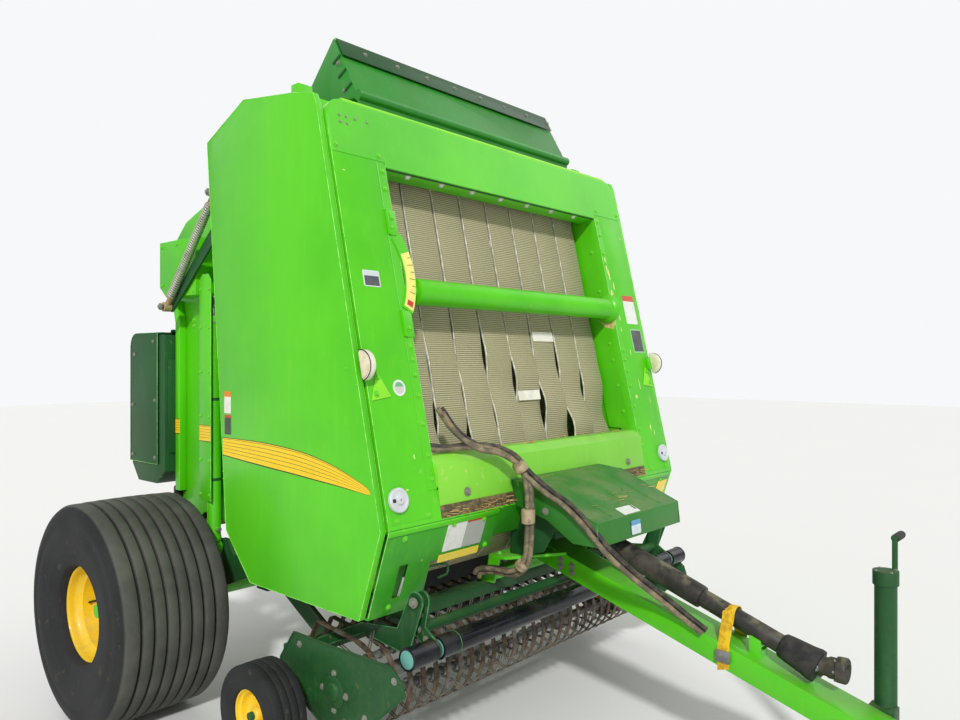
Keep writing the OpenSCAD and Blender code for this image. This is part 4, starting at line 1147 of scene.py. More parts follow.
stripe["top"] = smoothLine([(1058, 1356), (900, 1357), (720, 1354), (520, 1341), (400, 1325), (295, 1304),
                            (220, 1284), (158, 1264), (110, 1248), (82, 1236), (66, 1224)])
stripe["foot"] = smoothLine([(1058, 1276), (900, 1264), (720, 1252), (520, 1240), (400, 1232), (295, 1226),
                             (220, 1221), (158, 1216), (110, 1212), (82, 1210), (66, 1212)])
for name, side in sides:
    mesh = stripeMesh("stripe_" + name, stripe["top"], stripe["foot"], side * bodyHalf, side)
    newPiece("stripe_" + name, mesh, "stripe", body="shield_" + name)
    plate("side_plate_top_" + name, (side * bodyHalf, 1020, 1512), (0, side, 0), (0, 0, 1), (52, 96),
          "plateOrange", 3, 1.2, body="shield_" + name)
    plate("side_plate_low_" + name, (side * bodyHalf, 1018, 1414), (0, side, 0), (0, 0, 1), (50, 86),
          "plateDark", 3, 1.2, body="shield_" + name)
    sideBolts("shield_rivets_" + name, side * bodyHalf,
              ((1052, 1205), (1050, 1172), (200, 1667), (141, 1607)), 4, "boltPaint", 10,
              body="shield_" + name)
print("side trim made")


def buildLatches():
    for name, side in sides:
        x = side * (frontHalf - 58)
        z = 1184
        face = onPanel(x, z, 18)
        disc = Shape().turned(onPanel(x, z, 0.3), outPanel,
                              [(0, 42), (4, 46), (15, 46), (18, 43), (18.6, 36), (16.5, 34), (16.5, 20),
                               (19, 18), (24, 16), (25, 12), (25, 0.5)], 48)
        disc.made("latch_disc_" + name, "disc", *(["latch_discs"] if side < 0 else []), smooth=30)
        key = Shape().slab([face + outPanel * -1.4 + Vector((a - 27, 0, 0)) + upPanel * b
                            for a, b in roundRect(20, 13, 6)], outPanel * 1.8)
        key.turned(face + outPanel * 5.9, outPanel, [(0, 7), (1.2, 6.5), (1.4, 3)], 16)
        key.made("latch_key_" + name, "black", slot="pale_plastic")


buildLatches()

lamp = {"z": 1677, "r": 58, "gap": 12}


def halfRound(shape, x0, x1, r, centre):
    # a D-shaped body with its flat side towards the panel
    ring = []
    for k in range(17):
        t = math.radians(-90 + 180 * k / 16)
        ring.append(centre + outPanel * (lamp["gap"] + r * math.cos(t)) + upPanel * r * math.sin(t))
    return shape.slab([p + Vector((x0, 0, 0)) for p in ring], (x1 - x0, 0, 0))


def buildLamps():
    for name, side in sides:
        centre = onPanel(side * frontHalf, lamp["z"])
        rim = halfRound(Shape(), *sorted((side * 1, side * 27)), lamp["r"], centre)
        rim.made("lamp_rim_" + name, "lampRim", *(["marker_lamps"] if side < 0 else []), edge=3)
        for tag, a, b in (("out", 26, 30.5), ("in", -2.5, 2)):
            lens = halfRound(Shape(), *sorted((side * a, side * b)), lamp["r"] - 8, centre)
            lens.made("lamp_lens_" + tag + "_" + name, "amber", edge=2)
        arm = Shape().slab([centre + upPanel * s * 32 + outPanel * d + Vector((side * -24, 0, 0))
                            for s, d in ((-1, 0), (-1, 20), (1, 20), (1, 0))], (side * 24, 0, 0))
        arm.made("lamp_arm_" + name, "paint", edge=2)
        gusset = panelSlab(Shape(), [(side * (frontHalf - 9), 1548), (side * (frontHalf - 108), 1560),
                                     (side * (frontHalf - 52), 1658)], 5)
        gusset.made("lamp_gusset_" + name, "paintPale", edge=2)
        boltsAt("lamp_bolts_" + name, [onPanel(side * (frontHalf - 50), 1634, 5),
                                       onPanel(side * (frontHalf - 34), 1572, 5)], outPanel, 8, "boltPaint")
        seal = [centre + Vector((side * 28, 0, 0))
                + outPanel * (lamp["gap"] + lamp["r"] * math.cos(math.radians(t)))
                + upPanel * lamp["r"] * math.sin(math.radians(t)) for t in range(-90, 91, 10)]
        tubeAlong("lamp_seal_" + name, seal, 2, "black", sides=6, slot="amber_lamp")


buildLamps()

scaleBar = {"r": 330, "wide": 56, "low": 1896, "high": 2200}


def buildScale():
    h0, h1 = ((z - foldZ) / math.cos(lean) for z in (scaleBar["low"], scaleBar["high"]))
    mid, r = (h0 + h1) / 2, scaleBar["r"]
    cx = -windowHalf - r + 64
    reach = math.asin((h1 - h0) / 2 / (r - scaleBar["wide"] / 2))

    def at(radius, t, lift):
        return leanedSpot(cx + radius * math.cos(t), mid + radius * math.sin(t)) + leanedOut * lift / 1000

    def arcPiece(r0, r1, t0, t1, lift0, lift1, steps):
        rings = []
        for k in range(steps + 1):
            t = t0 + (t1 - t0) * k / steps
            rings.append([at(r0, t, lift0), at(r1, t, lift0), at(r1, t, lift1), at(r0, t, lift1)])
        points = [p for ring in rings for p in ring]
        faces = [(0, 1, 2, 3), tuple(4 * steps + j for j in (3, 2, 1, 0))]
        faces += [(4 * k + j, 4 * k + (j + 1) % 4, 4 * k + 4 + (j + 1) % 4, 4 * k + 4 + j)
                  for k in range(steps) for j in range(4)]
        return points, faces

    def arcMesh(name, parts):
        points, faces = [], []
        for p, f in parts:
            faces += [tuple(i + len(points) for i in face) for face in f]
            points += p
        return outward(meshOf(name, points, faces))

    def turnAt(z):
        return math.asin(((z - foldZ) / math.cos(lean) - mid) / (r - scaleBar["wide"] / 2))

    body = arcMesh("scale_arc", [arcPiece(r - scaleBar["wide"], r, -reach, reach, 1, 7, 24)])
    newPiece("scale_arc", body, "paint", "bale_scale")
    foot, head = turnAt(1904), turnAt(2132)
    card = arcMesh("scale_face", [arcPiece(r - scaleBar["wide"] + 5, r - 2, foot, head, 6.8, 8.6, 20)])
    newPiece("scale_face", card, "scaleFace")
    ticks = [arcPiece(r - scaleBar["wide"] * (0.4 if k % 2 else 0.62), r - 4, t, t + 0.006, 8.4, 9.4, 1)
             for k, t in enumerate([foot + (head - foot) * (0.3 + 0.12 * i) for i in range(6)])]
    newPiece("scale_ticks", arcMesh("scale_ticks", ticks), "black", slot="scale_yellow")
    span = head - foot
    mark = arcPiece(r - scaleBar["wide"] * 0.72, r - 10, foot + span * 0.05, foot + span * 0.15, 8.4, 9.4, 3)
    newPiece("scale_red", arcMesh("scale_red", [mark]), "redPaint")
    arms = Shape()
    for z0, z1 in ((scaleBar["low"] - 107, scaleBar["low"] - 2),
                   (scaleBar["high"] + 2, scaleBar["high"] + 107)):
        panelSlab(arms, [(-windowHalf - 44, z0), (-windowHalf + 10, z0), (-windowHalf + 10, z1),
                         (-windowHalf - 44, z1)], 6)
        panelSlab(arms, [(-windowHalf - 44, z0), (-windowHalf - 36, z0), (-windowHalf - 36, z1),
                         (-windowHalf - 44, z1)], 14)
    arms.made("scale_arms", "paint", edge=1.5)
    boltsAt("scale_bolts",
            [onPanel(-windowHalf - 16, z, 6) for z in (scaleBar["low"] - 72, scaleBar["high"] + 74)],
            outPanel, 8, "boltPaint", 12)


buildScale()

# bare plates: name, finish, x, z, width, height on the panel's face
for name, material, x, z, wide, high in (
        ("grey", "plateGrey", -945, 2014, 84, 66), ("round", "platePale", -891, 1592, 64, 64),
        ("round_inner", "roundInner", -891, 1592, 48, 48), ("red_high", "plateRed", 963, 1982, 116, 166),
        ("dark_low", "plateSlate", 976, 1806, 114, 138)):
    plate("plate_" + name, onPanel(x, z), (1, 0, 0), upPanel, (wide, high), material,
          min(wide, high) / 2 - 0.4 if "round" in name else 6, 1.8 if "inner" in name else 1.4)
badge = Shape().slab([onPanel(2 + x, 2600) + upPanel * y for x, y in roundRect(118, 108, 30, 6)],
                     outPanel * 1.6)
badge.made("badge_place", "paint", edge=0.6)
print("front trim made")


def buildFasciaTrim():
    for name, material, x, z, size in (
            ("pale", "platePale", -675, 1010, (112, 138)), ("text", "textGrey", -560, 1010, (112, 138)),
            ("strip", "plateYellow", -625, 917, (236, 34)), ("corner", "platePale", 545, 1032, (116, 76)),
            ("corner_red", "textGrey", 664, 1032, (116, 76))):
        plate("plate_" + name, onFascia(x, z), (1, 0, 0), upFascia, size, material, 4, 1.4)
    for name, side in sides:
        boltsAt("fascia_bolts_" + name,
                [onFascia(side * x, z) for x, z in ((frontHalf - 90, 1040), (frontHalf - 90, 770),
                                                    (520, 1050), (700, 1055), (470, 930))], outFascia, 8,
                "boltPaint")
    plate("reflector", onFascia(986, 950), (1, 0, 0), upFascia, (98, 180), "reflector", 3, 3)
    edge = Shape()
    for _, side in sides:
        edge.skin([[onFascia(side * x, z, d) for d, z in ((0.2, foldZ - 2), (5, foldZ - 6), (5, foldZ - 22),
                                                          (0.2, foldZ - 26))] for x in (434, frontHalf - 1)])
    edge.made("fold_lips", "paint", edge=1)


buildFasciaTrim()
tubeAlong("fascia_hook", [(-830, 68, 898), (-802, 74, 894), (-682, 74, 887), (-668, 74, 878), (-666, 74, 856),
                          (-676, 74, 842), (-724, 74, 838)], 5, "dark", sides=8)


def patchMesh(name, corners):
    return meshOf(name, [spot(*c) for c in corners], [tuple(range(len(corners)))])


def buildSill():
    # hay that has settled on the sill and on the ledge below it
    for name, corners, density, seed in (
            ("sill", [(-700, 70, 1326), (700, 70, 1326), (700, 118, 1326), (-700, 118, 1326)], 420.0, 3),
            ("ledge", [(-770, 10, 1126), (-345, 10, 1126), (-345, 1, 1090), (-770, 1, 1090)], 5200.0, 7),
            ("ledge_left", [(345, 10, 1126), (770, 10, 1126), (770, 1, 1090), (345, 1, 1090)], 5200.0, 8),
            ("hood", [(-320, -330, 1098), (320, -330, 1098), (320, -20, 1188), (-320, -20, 1188)], 240.0, 9)):
        grown("straw_" + name, patchMesh("patch_" + name, corners), "straw", "straw", Density=density,
              Seed=seed, Thickness=0.0013)

    def face(z, lift):
        return (panelY(z) - lift, z)

    lip = Shape()
    lip.side([(28, 1292), (19, 1206), face(1141, 4), face(1137, 2), face(1137, 0.2), face(1190, 0.2),
              (20.5, 1206), (30, 1292)], -windowHalf + 1, windowHalf - 1)
    lip.made("sill_face", "sillPaint", edge=1)
    shelf = Shape()
    shelf.side([face(1137, 0), face(1137, 1.2), face(1089, 1.2), face(1089, 0)], -windowHalf + 1,
               windowHalf - 1)
    shelf.made("sill_ledge", "ledge")
    boltsAt("sill_bolts", [(x, 13, 1172) for x in (-618, 618)], (0, -0.99, 0.1), 12, "bolt")
    for name, side in sides:
        boltsAt("wall_bolts_" + name, [(side * (windowHalf - 0.5), panelY(z) + 60, z)
                                       for z in (1420, 1560, 1700, 1790, 2080, 2300)], (-side, 0, 0), 7,
                "boltPaint", 12)


buildSill()

visor = {"foot": (510, 2830), "tip": (672, 3118), "half": 769}


def visorPlace(x, up, out):
    # up runs from the visor's foot to its tip, out leaves its front face
    foot, tip = Vector((0, *visor["foot"])), Vector((0, *visor["tip"]))
    rise = (tip - foot).normalized()
    front = Vector((0, -rise.z, rise.y))
    return foot + rise * up + front * out + Vector((x, 0, 0))


def buildVisorTrim():
    half = visor["half"]
    length = math.dist(visor["foot"], visor["tip"])
    face = 8
    band = Shape()
    band.slab([visorPlace(-half + 2, length - 104, face + 0.2),
               visorPlace(half - 2, length - 104, face + 0.2), visorPlace(half - 2, length - 6, face + 0.2),
               visorPlace(-half + 2, length - 6, face + 0.2)], visorPlace(0, 0, 3) - visorPlace(0, 0, 0))
    band.made("visor_band", "darkStrip", edge=1)
    out = (visorPlace(0, 0, 1) - visorPlace(0, 0, 0)).normalized()
    rows = [visorPlace(-619 + k * 197, length - 50, face + 3) for k in range(8)]
    boltsAt("visor_bolts", rows, out, 7, "bolt", 10)
    tubeAlong("visor_rim", [visorPlace(-half, length - 8, 4), visorPlace(half, length - 8, 4)], 6, "paint")
    tubeAlong("visor_foot_roll", [(-half - 0.8, 510, 2835), (half + 0.8, 510, 2835)], 22.8, "visorPaint",
              sides=20)
    for name, side in sides:
        ribs = Shape()
        for up in (70, 150, 230):
            ribs.slab([visorPlace(side * half, up, 0), visorPlace(side * half, up + 12, 0),
                       visorPlace(side * half, up + 12, -60), visorPlace(side * half, up, -60)],
                      (side * 4, 0, 0))
        ribs.made("visor_latches_" + name, "dark", edge=1)
        sideBolts("visor_side_bolts_" + name, side * half, ((600, 2870), (800, 2880), (640, 3000)), 8, "bolt")
    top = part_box("front_frame")[1].z * 1000
    y = panelY(top) + 8
    # a pale lime roll along the panel's top lip: painted highlight
    lip = [(-frontHalf + 92, y, top - 1), (frontHalf - 92, y, top - 1)]
    tubeAlong("panel_roll_highlight", lip, 10, "paintPale")


buildVisorTrim()


def buildTubeTrim():
    # welded collar where the belt tube meets the window's left wall, and the bare patch behind it
    x = windowHalf - 12
    ring = Shape().turned((x - 22, 236, 1980), (1, 0, 0), [(0, 56), (4, 62), (12, 70), (20, 77), (24, 77)],
                          40)
    ring.made("tube_collar", "paint", smooth=50)
    patch = Shape().side([(180, 1925), (200, 1868), (252, 1880), (300, 1925), (296, 1960), (240, 1900)],
                         windowHalf - 1.2, windowHalf - 0.2)
    patch.made("bare_patch", "primer")


def buildWear():
    # the window's liners, and paint knocked off beside it: x, z, width and height of each flake
    for name, side in sides:
        liner = Shape().side([(panelY(z) + back, z)
                              for z, back in ((1330, 40), (1330, 170), (2488, 170), (2488, 40))],
                             side * (windowHalf - 0.3), side * (windowHalf + 1.2))
        liner.made("wall_liner_" + name, "paint")
    flakes = Shape()
    spread = random.Random(8)
    for x, z, wide, high in (
            (800, 2230, 12, 90), (812, 2170, 16, 80), (842, 2110, 12, 50), (806, 2068, 22, 36),
            (850, 2010, 16, 22), (838, 1935, 10, 30), (830, 1868, 8, 26), (880, 1745, 7, 30),
            (905, 1560, 5, 60), (848, 1500, 22, 22), (1010, 1610, 10, 24), (985, 1480, 6, 40),
            (930, 1330, 10, 30), (960, 1300, 8, 34), (1020, 2400, 22, 8), (-1000, 2440, 14, 6),
            (-870, 1330, 8, 18), (-930, 1215, 14, 6)):
        ring = []
        for k in range(9):
            t = 2 * math.pi * k / 9
            r = 0.5 * spread.uniform(0.45, 1.0)
            ring.append((x + 1.4 * wide * r * math.cos(t), z + 1.4 * high * r * math.sin(t)))
        lift = 2.3 if abs(x) < windowHalf + panel["strip"] else 0.1
        flakes.slab([onPanel(a, b, lift) for a, b in ring], outPanel * 0.25)
    flakes.made("paint_flakes", "flake")


buildWear()
buildTubeTrim()
print("sill and visor dressed")

shaft = {"from": (-122, 955), "lean": math.radians(19.7), "joint": 1065, "yoke": 120, "bore": 17.5,
         "spline": 80}


def shaftPlace(d):
    return Vector((0, shaft["from"][0] - d * math.cos(shaft["lean"]),
                   shaft["from"][1] - d * math.sin(shaft["lean"])))


def buildDriveline():
    start = shaftPlace(0)
    along = shaftPlace(1) - start
    bell = [(60, 30), (62, 61), (74, 62), (100, 57), (172, 50), (200, 46), (208, 38)]
    tubes = Shape()
    tubes.turned(start, along, [(0, 33), (60, 34)], 28)
    tubes.turned(start, along, [(200, 30), (208, 45), (300, 46), (560, 46), (600, 45.5), (608, 44),
                                (610, 36.5)], 32)
    tubes.turned(start, along, [(606, 35.5), (800, 36), (938, 36), (944, 33)], 32)
    tubes.made("shaft_tubes", "grease", "driveline", smooth=40, body=bodyOf("driveline"))
    guards = Shape()
    guards.turned(start, along, bell, 32)
    for k in range(5):
        guards.turned(start, along, [(74 + k * 22, 56 - k * 2.4), (77 + k * 22, 62.6 - k * 2.4),
                                     (83 + k * 22, 62.6 - k * 2.4), (86 + k * 22, 56 - k * 2.4)], 32)
    guards.turned(start, along, [(1150 - a, r) for a, r in reversed(bell)], 32)
    guards.made("shaft_guards", "black", smooth=40, slot="dark_steel")
    joint = shaftPlace(shaft["joint"])
    ahead = Vector((0, -1, 0))
    yoke = Shape()
    bore, end = shaft["bore"], shaft["yoke"]
    outer = [(0, 34), (6, 38), (34, 38), (40, 33), (52, 33), (60, 38), (end - 34, 38), (end - 31, 45),
             (end - 4, 46), (end, 43)]
    back = [(end, bore + 4), (end - 3, bore + 0.4), (end - shaft["spline"], bore + 0.4),
            (end - shaft["spline"] - 1, 0.5)]
    rings = []
    for d, r in outer + back:
        ring = []
        for k in range(72):
            a = 2 * math.pi * k / 72
            reach = r + (1.6 if (d, r) in back[1:3] and (k // 2) % 2 else 0.0)
            ring.append(joint + ahead * d + Vector((reach * math.cos(a), 0, reach * math.sin(a))))
        rings.append(ring)
    yoke.skin(rings)
    yoke.made("shaft_yoke", "grease", smooth=45)
    cross = Shape()
    for a in (0, 90):
        arm = Vector((math.cos(math.radians(a)), 0, math.sin(math.radians(a))))
        for s in (-1, 1):
            cross.turned(joint + ahead * 20, arm * s, [(26, 12), (40, 13), (41.5, 11), (44, 10.5), (44.5, 4)],
                         18)
    cross.made("shaft_cross", "steel", smooth=40, slot="dark_steel")
    cups = Shape()
    for k in range(6):
        a = 2 * math.pi * k / 6
        cups.turned(joint + ahead * (end - 33) + Vector((40 * math.cos(a), 0, 40 * math.sin(a))), -ahead,
                    [(0, 5), (7, 5), (8, 3)], 8)
    cups.made("shaft_bolts", "bolt", slot="dark_steel")


buildDriveline()

tongue = {"tip": (-1400, 435), "root": (110, 895.8)}


def tongueTop(y):
    (y0, z0), (y1, z1) = tongue["tip"], tongue["root"]
    return z0 + (y - y0) * (z1 - z0) / (y1 - y0)


def buildStrap():
    # woven strap round the tongue and the parked shaft, drawn tight over their corners
    y = -820
    top = tongueTop(y)
    shaftZ = shaft["from"][1] + (y - shaft["from"][0]) * math.tan(shaft["lean"])
    ring = [(-81.5, top - 92), (-82, top - 40), (-81, top + 1)]
    for k in range(9):
        a = math.radians(180 - 22.5 * k)
        ring.append((38 * math.cos(a), shaftZ + 38 * math.sin(a)))
    ring += [(81, top + 1), (82, top - 40), (81.5, top - 92), (76, top - 94), (0, top - 95), (-76, top - 94)]
    strap = Shape()
    rings = []
    for dy, out in ((-24, 0.3), (-24, 3.0), (24, 3.0), (24, 0.3)):
        centre = Vector((0, top + 20))
        row = []
        for x, z in ring:
            d = (Vector((x, z)) - centre).normalized() * out
            slope = 0.305 if abs(x) > 75 or z < top else 0
            row.append((x + d.x, y + dy, z + d.y - dy * slope))
        rings.append(row)
    strap.skin(rings, caps=False, closed=True)
    strap.made("tongue_strap", "strap", smooth=60)
    buckle = Shape().slab([(-86, y - 30, top - 20), (-86, y + 30, top - 20), (-86, y + 30, top - 66),
                           (-86, y - 30, top - 66)], (-7, 0, 0))
    buckle.made("strap_buckle", "steel", edge=2)


buildStrap()


def buildHood():
    for name, side in sides:
        x = side * 335
        # pale lines along the hood's edges: painted highlights and rubbed paint
        tubeAlong("hood_edge_" + name, [(x, -424, 962), (x, -414, 1056), (x, -120, 1178), (x, 12, 1189)], 1.6,
                  "edgeDark", sides=6)
        sideBolts("hood_bolts_" + name, x, ((-165, 1075), (-95, 1085)), 10, "bolt")
    slope = Vector((0, 294, 122)).normalized()
    normal = Vector((0, -122, 294)).normalized()
    middle = Vector((-50, -384, 1056 + 30 * 122 / 294))
    plate("hood_plate", middle + normal * 0.4, (1, 0, 0), slope, (124, 52), "platePale", 4, 1.4)
    plate("hood_front_plate", (-48, -422.6, 1002), (1, 0, 0), (0, 0.1, 1), (72, 58), "skyPlate", 4, 1.4)
    ribs = Shape()
    for x in (-200, 0, 200):
        ribs.skin([[Vector((x + dx, -414, 1056)) + slope * d + normal * h
                    for dx, h in ((-9, 0), (-5, 3), (5, 3), (9, 0))] for d in (24, 292)])
    ribs.made("hood_ribs", "paintDustyAndShaded", smooth=60)
    boltsAt("gearbox_bolts",
            [(x, -101, 955 + z) for x, z in ((44, 0), (-44, 0), (0, 44), (0, -44), (31, 31), (-31, -31),
                                             (31, -31), (-31, 31))], (0, -1, 0), 6, "bolt")


buildHood()
print("driveline and hood dressed")

reel = {"y": 300, "z": 430, "half": 1050, "tip": 235, "bands": 28, "bars": 4, "barR": 105, "wire": 6}
reel["pitch"] = (2 * reel["half"] - 90) / reel["bands"]


def acrossReel(name, item, count, material, *stoodFor, **others):
    grown(name, item, "row", material, *stoodFor, Count=count, Step=(reel["pitch"] / 1000, 0.0, 0.0),
          Start=(-reel["pitch"] * (count - 1) / 2000, reel["y"] / 1000 + foldY, reel["z"] / 1000), **others)


def buildBands():
    # one stripper band, bent round the reel, then repeated across the pickup
    r, w, t = reel["tip"] - 55, 26, 4
    path = [(285, 90, 0.87, 0.5), (225, 199, 0.87, 0.5), (218, 203.8, 0.35, 0.93),
            (206, 202.5, -0.108, 0.994)]
    path += [(r * math.cos(a), r * math.sin(a), math.cos(a), math.sin(a))
             for a in [math.radians(90 + 161 * k / 22) for k in range(23)]]
    rings = []
    for y, z, ny, nz in path:
        rings.append([(x, y + ny * d, z + nz * d)
                      for x, d in ((-w / 2, -t), (w / 2, -t), (w / 2, -1), (w / 2 - 5, 0), (-w / 2 + 5, 0),
                                   (-w / 2, -1))])
    acrossReel("bands_bent", Shape().skin(rings).item("band_item"), reel["bands"], "rust", "stripper_bands",
               smooth=40, body="pickup")


def buildReel():
    half, bar = reel["half"] - 6, reel["barR"]
    body = Shape()
    centre = (reel["y"], reel["z"])
    body.turned((-half - 14, *centre), (1, 0, 0), [(0, 20), (1, 22), (14, 22), (14.5, 30),
                                                   (2 * half + 13.5, 30), (2 * half + 14, 22),
                                                   (2 * half + 27, 22), (2 * half + 28, 20)], 32)
    for x in (-half + 10, -half / 3, half / 3, half - 18):
        body.turned((x, *centre), (1, 0, 0), [(0, 119), (1, 121), (7, 121), (8, 119)], 40)
    for k in range(reel["bars"]):
        a = math.radians(k * 90 + 20)
        body.turned((-half + 10, centre[0] + bar * math.cos(a), centre[1] + bar * math.sin(a)), (1, 0, 0),
                    [(0, 13), (1, 14), (2 * half - 21, 14), (2 * half - 20, 13)], 16)
    body.made("reel_body", "steel", "pickup_reel", smooth=40, body="reel")
    # a double spring tine: prong, coil round the bar, and the second prong
    line = [(-6.5, reel["tip"] - 3, 0), (-6.5, bar + 40, 4), (-6.5, bar + 17, 15)]
    for k in range(1, 18):
        a = math.radians(48 + (720 - 96) * k / 18)
        line.append((-6.5 + 13 * k / 18, bar + 17 * math.sin(a + math.pi / 2 - 0.84),
                     -17 * math.cos(a + math.pi / 2 - 0.84)))
    line += [(6.5, bar + 17, 15), (6.5, bar + 40, 4), (6.5, reel["tip"] - 3, 0)]
    maker = tubeAlong("tine_maker", line, reel["wire"] / 2, "tine", sides=5, body="reel")
    single = maker.data.copy()
    single.transform(Matrix.Translation((0, -foldY, 0)))
    bpy.data.objects.remove(maker)
    for k in range(reel["bars"]):
        turned = single.copy()
        turned.transform(Matrix.Rotation(math.radians(k * 90 + 20), 4, "X"))
        acrossReel("tines_bar_%d" % (k + 1), turned, reel["bands"] - 1, "tine", smooth=60, body="reel")


buildBands()
buildReel()


def linkEdge(stops):
    # outline of plates hulled from disc to disc, (y, z, radius) each: a closed run of (y, z)

    def half(run):
        offsets = []
        for (ay, az, ar), (by, bz, br) in zip(run, run[1:]):
            way = Vector((by - ay, bz - az))
            share = (ar - br) / way.length
            way.normalize()
            offsets.append(way * share + Vector((-way.y, way.x)) * math.sqrt(1 - share * share))
        line = []
        for k, (y, z, r) in enumerate(run[:-1]):
            n = offsets[k]
            if k:
                m = offsets[k - 1]
                turn = m.x * n.y - m.y * n.x
                if turn > 0:
                    line.append(Vector((y, z)) + (m + n).normalized() * r
                                / max(0.3, math.cos(m.angle(n) / 2)))
                    continue
                line += [Vector((y, z)) + m.slerp(n, t / 4) * r for t in range(4)]
            line.append(Vector((y, z)) + n * r)
        y, z, r = run[-1]
        end = math.atan2(offsets[-1].y, offsets[-1].x)
        reach = math.acos(max(-1.0, min(1.0, (run[-2][2] - r) / math.dist(run[-2][:2], (y, z)))))
        return line + [Vector((y + r * math.cos(end - t * reach / 5), z + r * math.sin(end - t * reach / 5)))
                       for t in range(10)]

    ring = half(stops) + half(stops[::-1])
    return [(p.x, p.y) for p in ring + ring[:1]]


roller = {"y": -62, "z": 630, "r": 43}
guard = {"arm": [(0, 800, 35), (18, 688, 29), (-62, 630, 33)],
         "bracket": [(0, 800, 37), (70, 640, 45), (300, 640, 19), (600, 505, 19)]}


def buildRoller():
    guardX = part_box("windguard")[1].x * 1000 - 58
    parts = Shape()
    spans = [(-guardX + 6, guardX - 6), (guardX + 18, reel["half"] - 30), (-reel["half"] + 30, -guardX - 18)]
    for a, b in spans:
        parts.turned((a, roller["y"], roller["z"]), (1, 0, 0),
                     [(0, 22), (0, roller["r"] - 2), (1, roller["r"]), (8, roller["r"]),
                      (9, roller["r"] - 1.5), (b - a - 9, roller["r"] - 1.5), (b - a - 8, roller["r"]),
                      (b - a - 1, roller["r"]), (b - a, roller["r"] - 2), (b - a, 22)], 40)
    parts.made("roller_tube", "roller", "press_roller", smooth=40, body="press_roller")
    # end caps tinted as painted sky light
    caps = Shape()
    caps.turned((-guardX - 20, roller["y"], roller["z"]), (1, 0, 0),
                [(0, 10), (1, 12), (2 * guardX + 39, 12), (2 * guardX + 40, 10)], 20)
    for a, b in spans:
        for x, s in ((a, -1), (b, 1)):
            caps.turned((x - s, roller["y"], roller["z"]), (s, 0, 0),
                        [(0, 34), (2, 33), (3.4, 22), (4.5, 20), (4.8, 12.5)], 28)
    caps.made("roller_caps", "capSkyLit", smooth=40, body="press_roller")
    for name, side in reversed(sides):
        ring = [(side * (guardX - 96), roller["y"] + roller["r"] * math.cos(0.1 * k * math.pi),
                 roller["z"] + roller["r"] * math.sin(0.1 * k * math.pi)) for k in range(21)]
        tubeAlong("roller_edge_" + name, ring, 1.2, "edgeDark", sides=5, body="press_roller",
                  slot="bare_steel")
    for name, side in sides:
        outer = guardX + 12
        sideBolts("guard_bolts_" + name, side * outer, ((8, 745), (18, 688), (-20, 658)), 9, "bolt",
                  body="windguard")
        # pale lines round the arm and bracket plates: painted highlights and rubbed paint
        for tag, x, body in (("arm", outer - 1, "windguard"), ("bracket", guardX + 45, "pickup")):
            tubeAlong("guard_%s_edge_%s" % (tag, name), [(side * x, y, z) for y, z in linkEdge(guard[tag])],
                      1.8, "edgeDark", sides=6, body=body)
        sideBolts("guard_pins_" + name, side * (guardX + 57), [(0, 800)], 13, "bolt", 12, body="windguard")


buildRoller()


def buildPickupTrim():
    half = reel["half"] + 10
    for name, side in sides:
        x = side * half
        spots = [(230, 430), (370, 430), (300, 360), (300, 500), (560, 400), (600, 400), (-40, 560),
                 (120, 380), (520, 560)]
        sideBolts("pickup_bolts_" + name, x, spots, 9, "bolt", body="pickup")
        flange = Shape().turned((x, reel["y"], reel["z"]), (side, 0, 0),
                                [(-1, 62), (5, 62), (6, 60), (6, 36), (16, 32), (17, 30), (17, 4)], 32)
        flange.made("reel_bearing_" + name, "dark", smooth=40, body="pickup", slot="dark_paint")
        rim = [(100, 350), (300, 250), (480, 330), (640, 330), (650, 480), (560, 600), (300, 600), (-20, 605),
               (-75, 560), (-90, 515), (100, 350)]
        tubeAlong("pickup_lip_" + name, [(x, y, z) for y, z in rim], 4, "dark", sides=8, body="pickup",
                  slot="dark_paint")
        hub = Shape().turned((side * (gauge["x"] + 26), gauge["y"], gauge["z"]), (side, 0, 0),
                             [(-10, 30), (4, 29), (14, 24), (18, 16), (19, 2)], 28)
        hub.made("gauge_cap_" + name, "yellow", smooth=45, body="gauge_" + name)


buildPickupTrim()


def buildWheelTrim():
    for name, side in sides:
        for tag, t, ring, radius, body in (("wheel", wheel, 105, 11, "wheel_" + name),
                                           ("gauge", gauge, 52, 6, "gauge_" + name)):
            half = t["width"] / 2
            x = side * (t["x"] + half * 0.125)
            places = [(x, t["y"] + ring * math.cos(2 * math.pi * k / t["nuts"]),
                       t["z"] + ring * math.sin(2 * math.pi * k / t["nuts"])) for k in range(t["nuts"])]
            boltsAt(tag + "_nuts_" + name, places, (side, 0, 0), radius, "yellowBolt", body=body)
        stem = [(side * (wheel["x"] + out), wheel["y"] + back, wheel["z"])
                for out, back in ((60, 168), (96, 172), (116, 166))]
        tubeAlong("valve_" + name, stem, 5, "black", sides=8, body="wheel_" + name, slot="tyre_rubber")


buildWheelTrim()
print("pickup and wheels dressed")

spring = {"x": 958, "top": (1345, 2500), "low": (1815, 1975), "r": 18.5, "wire": 4.4, "turns": 44}


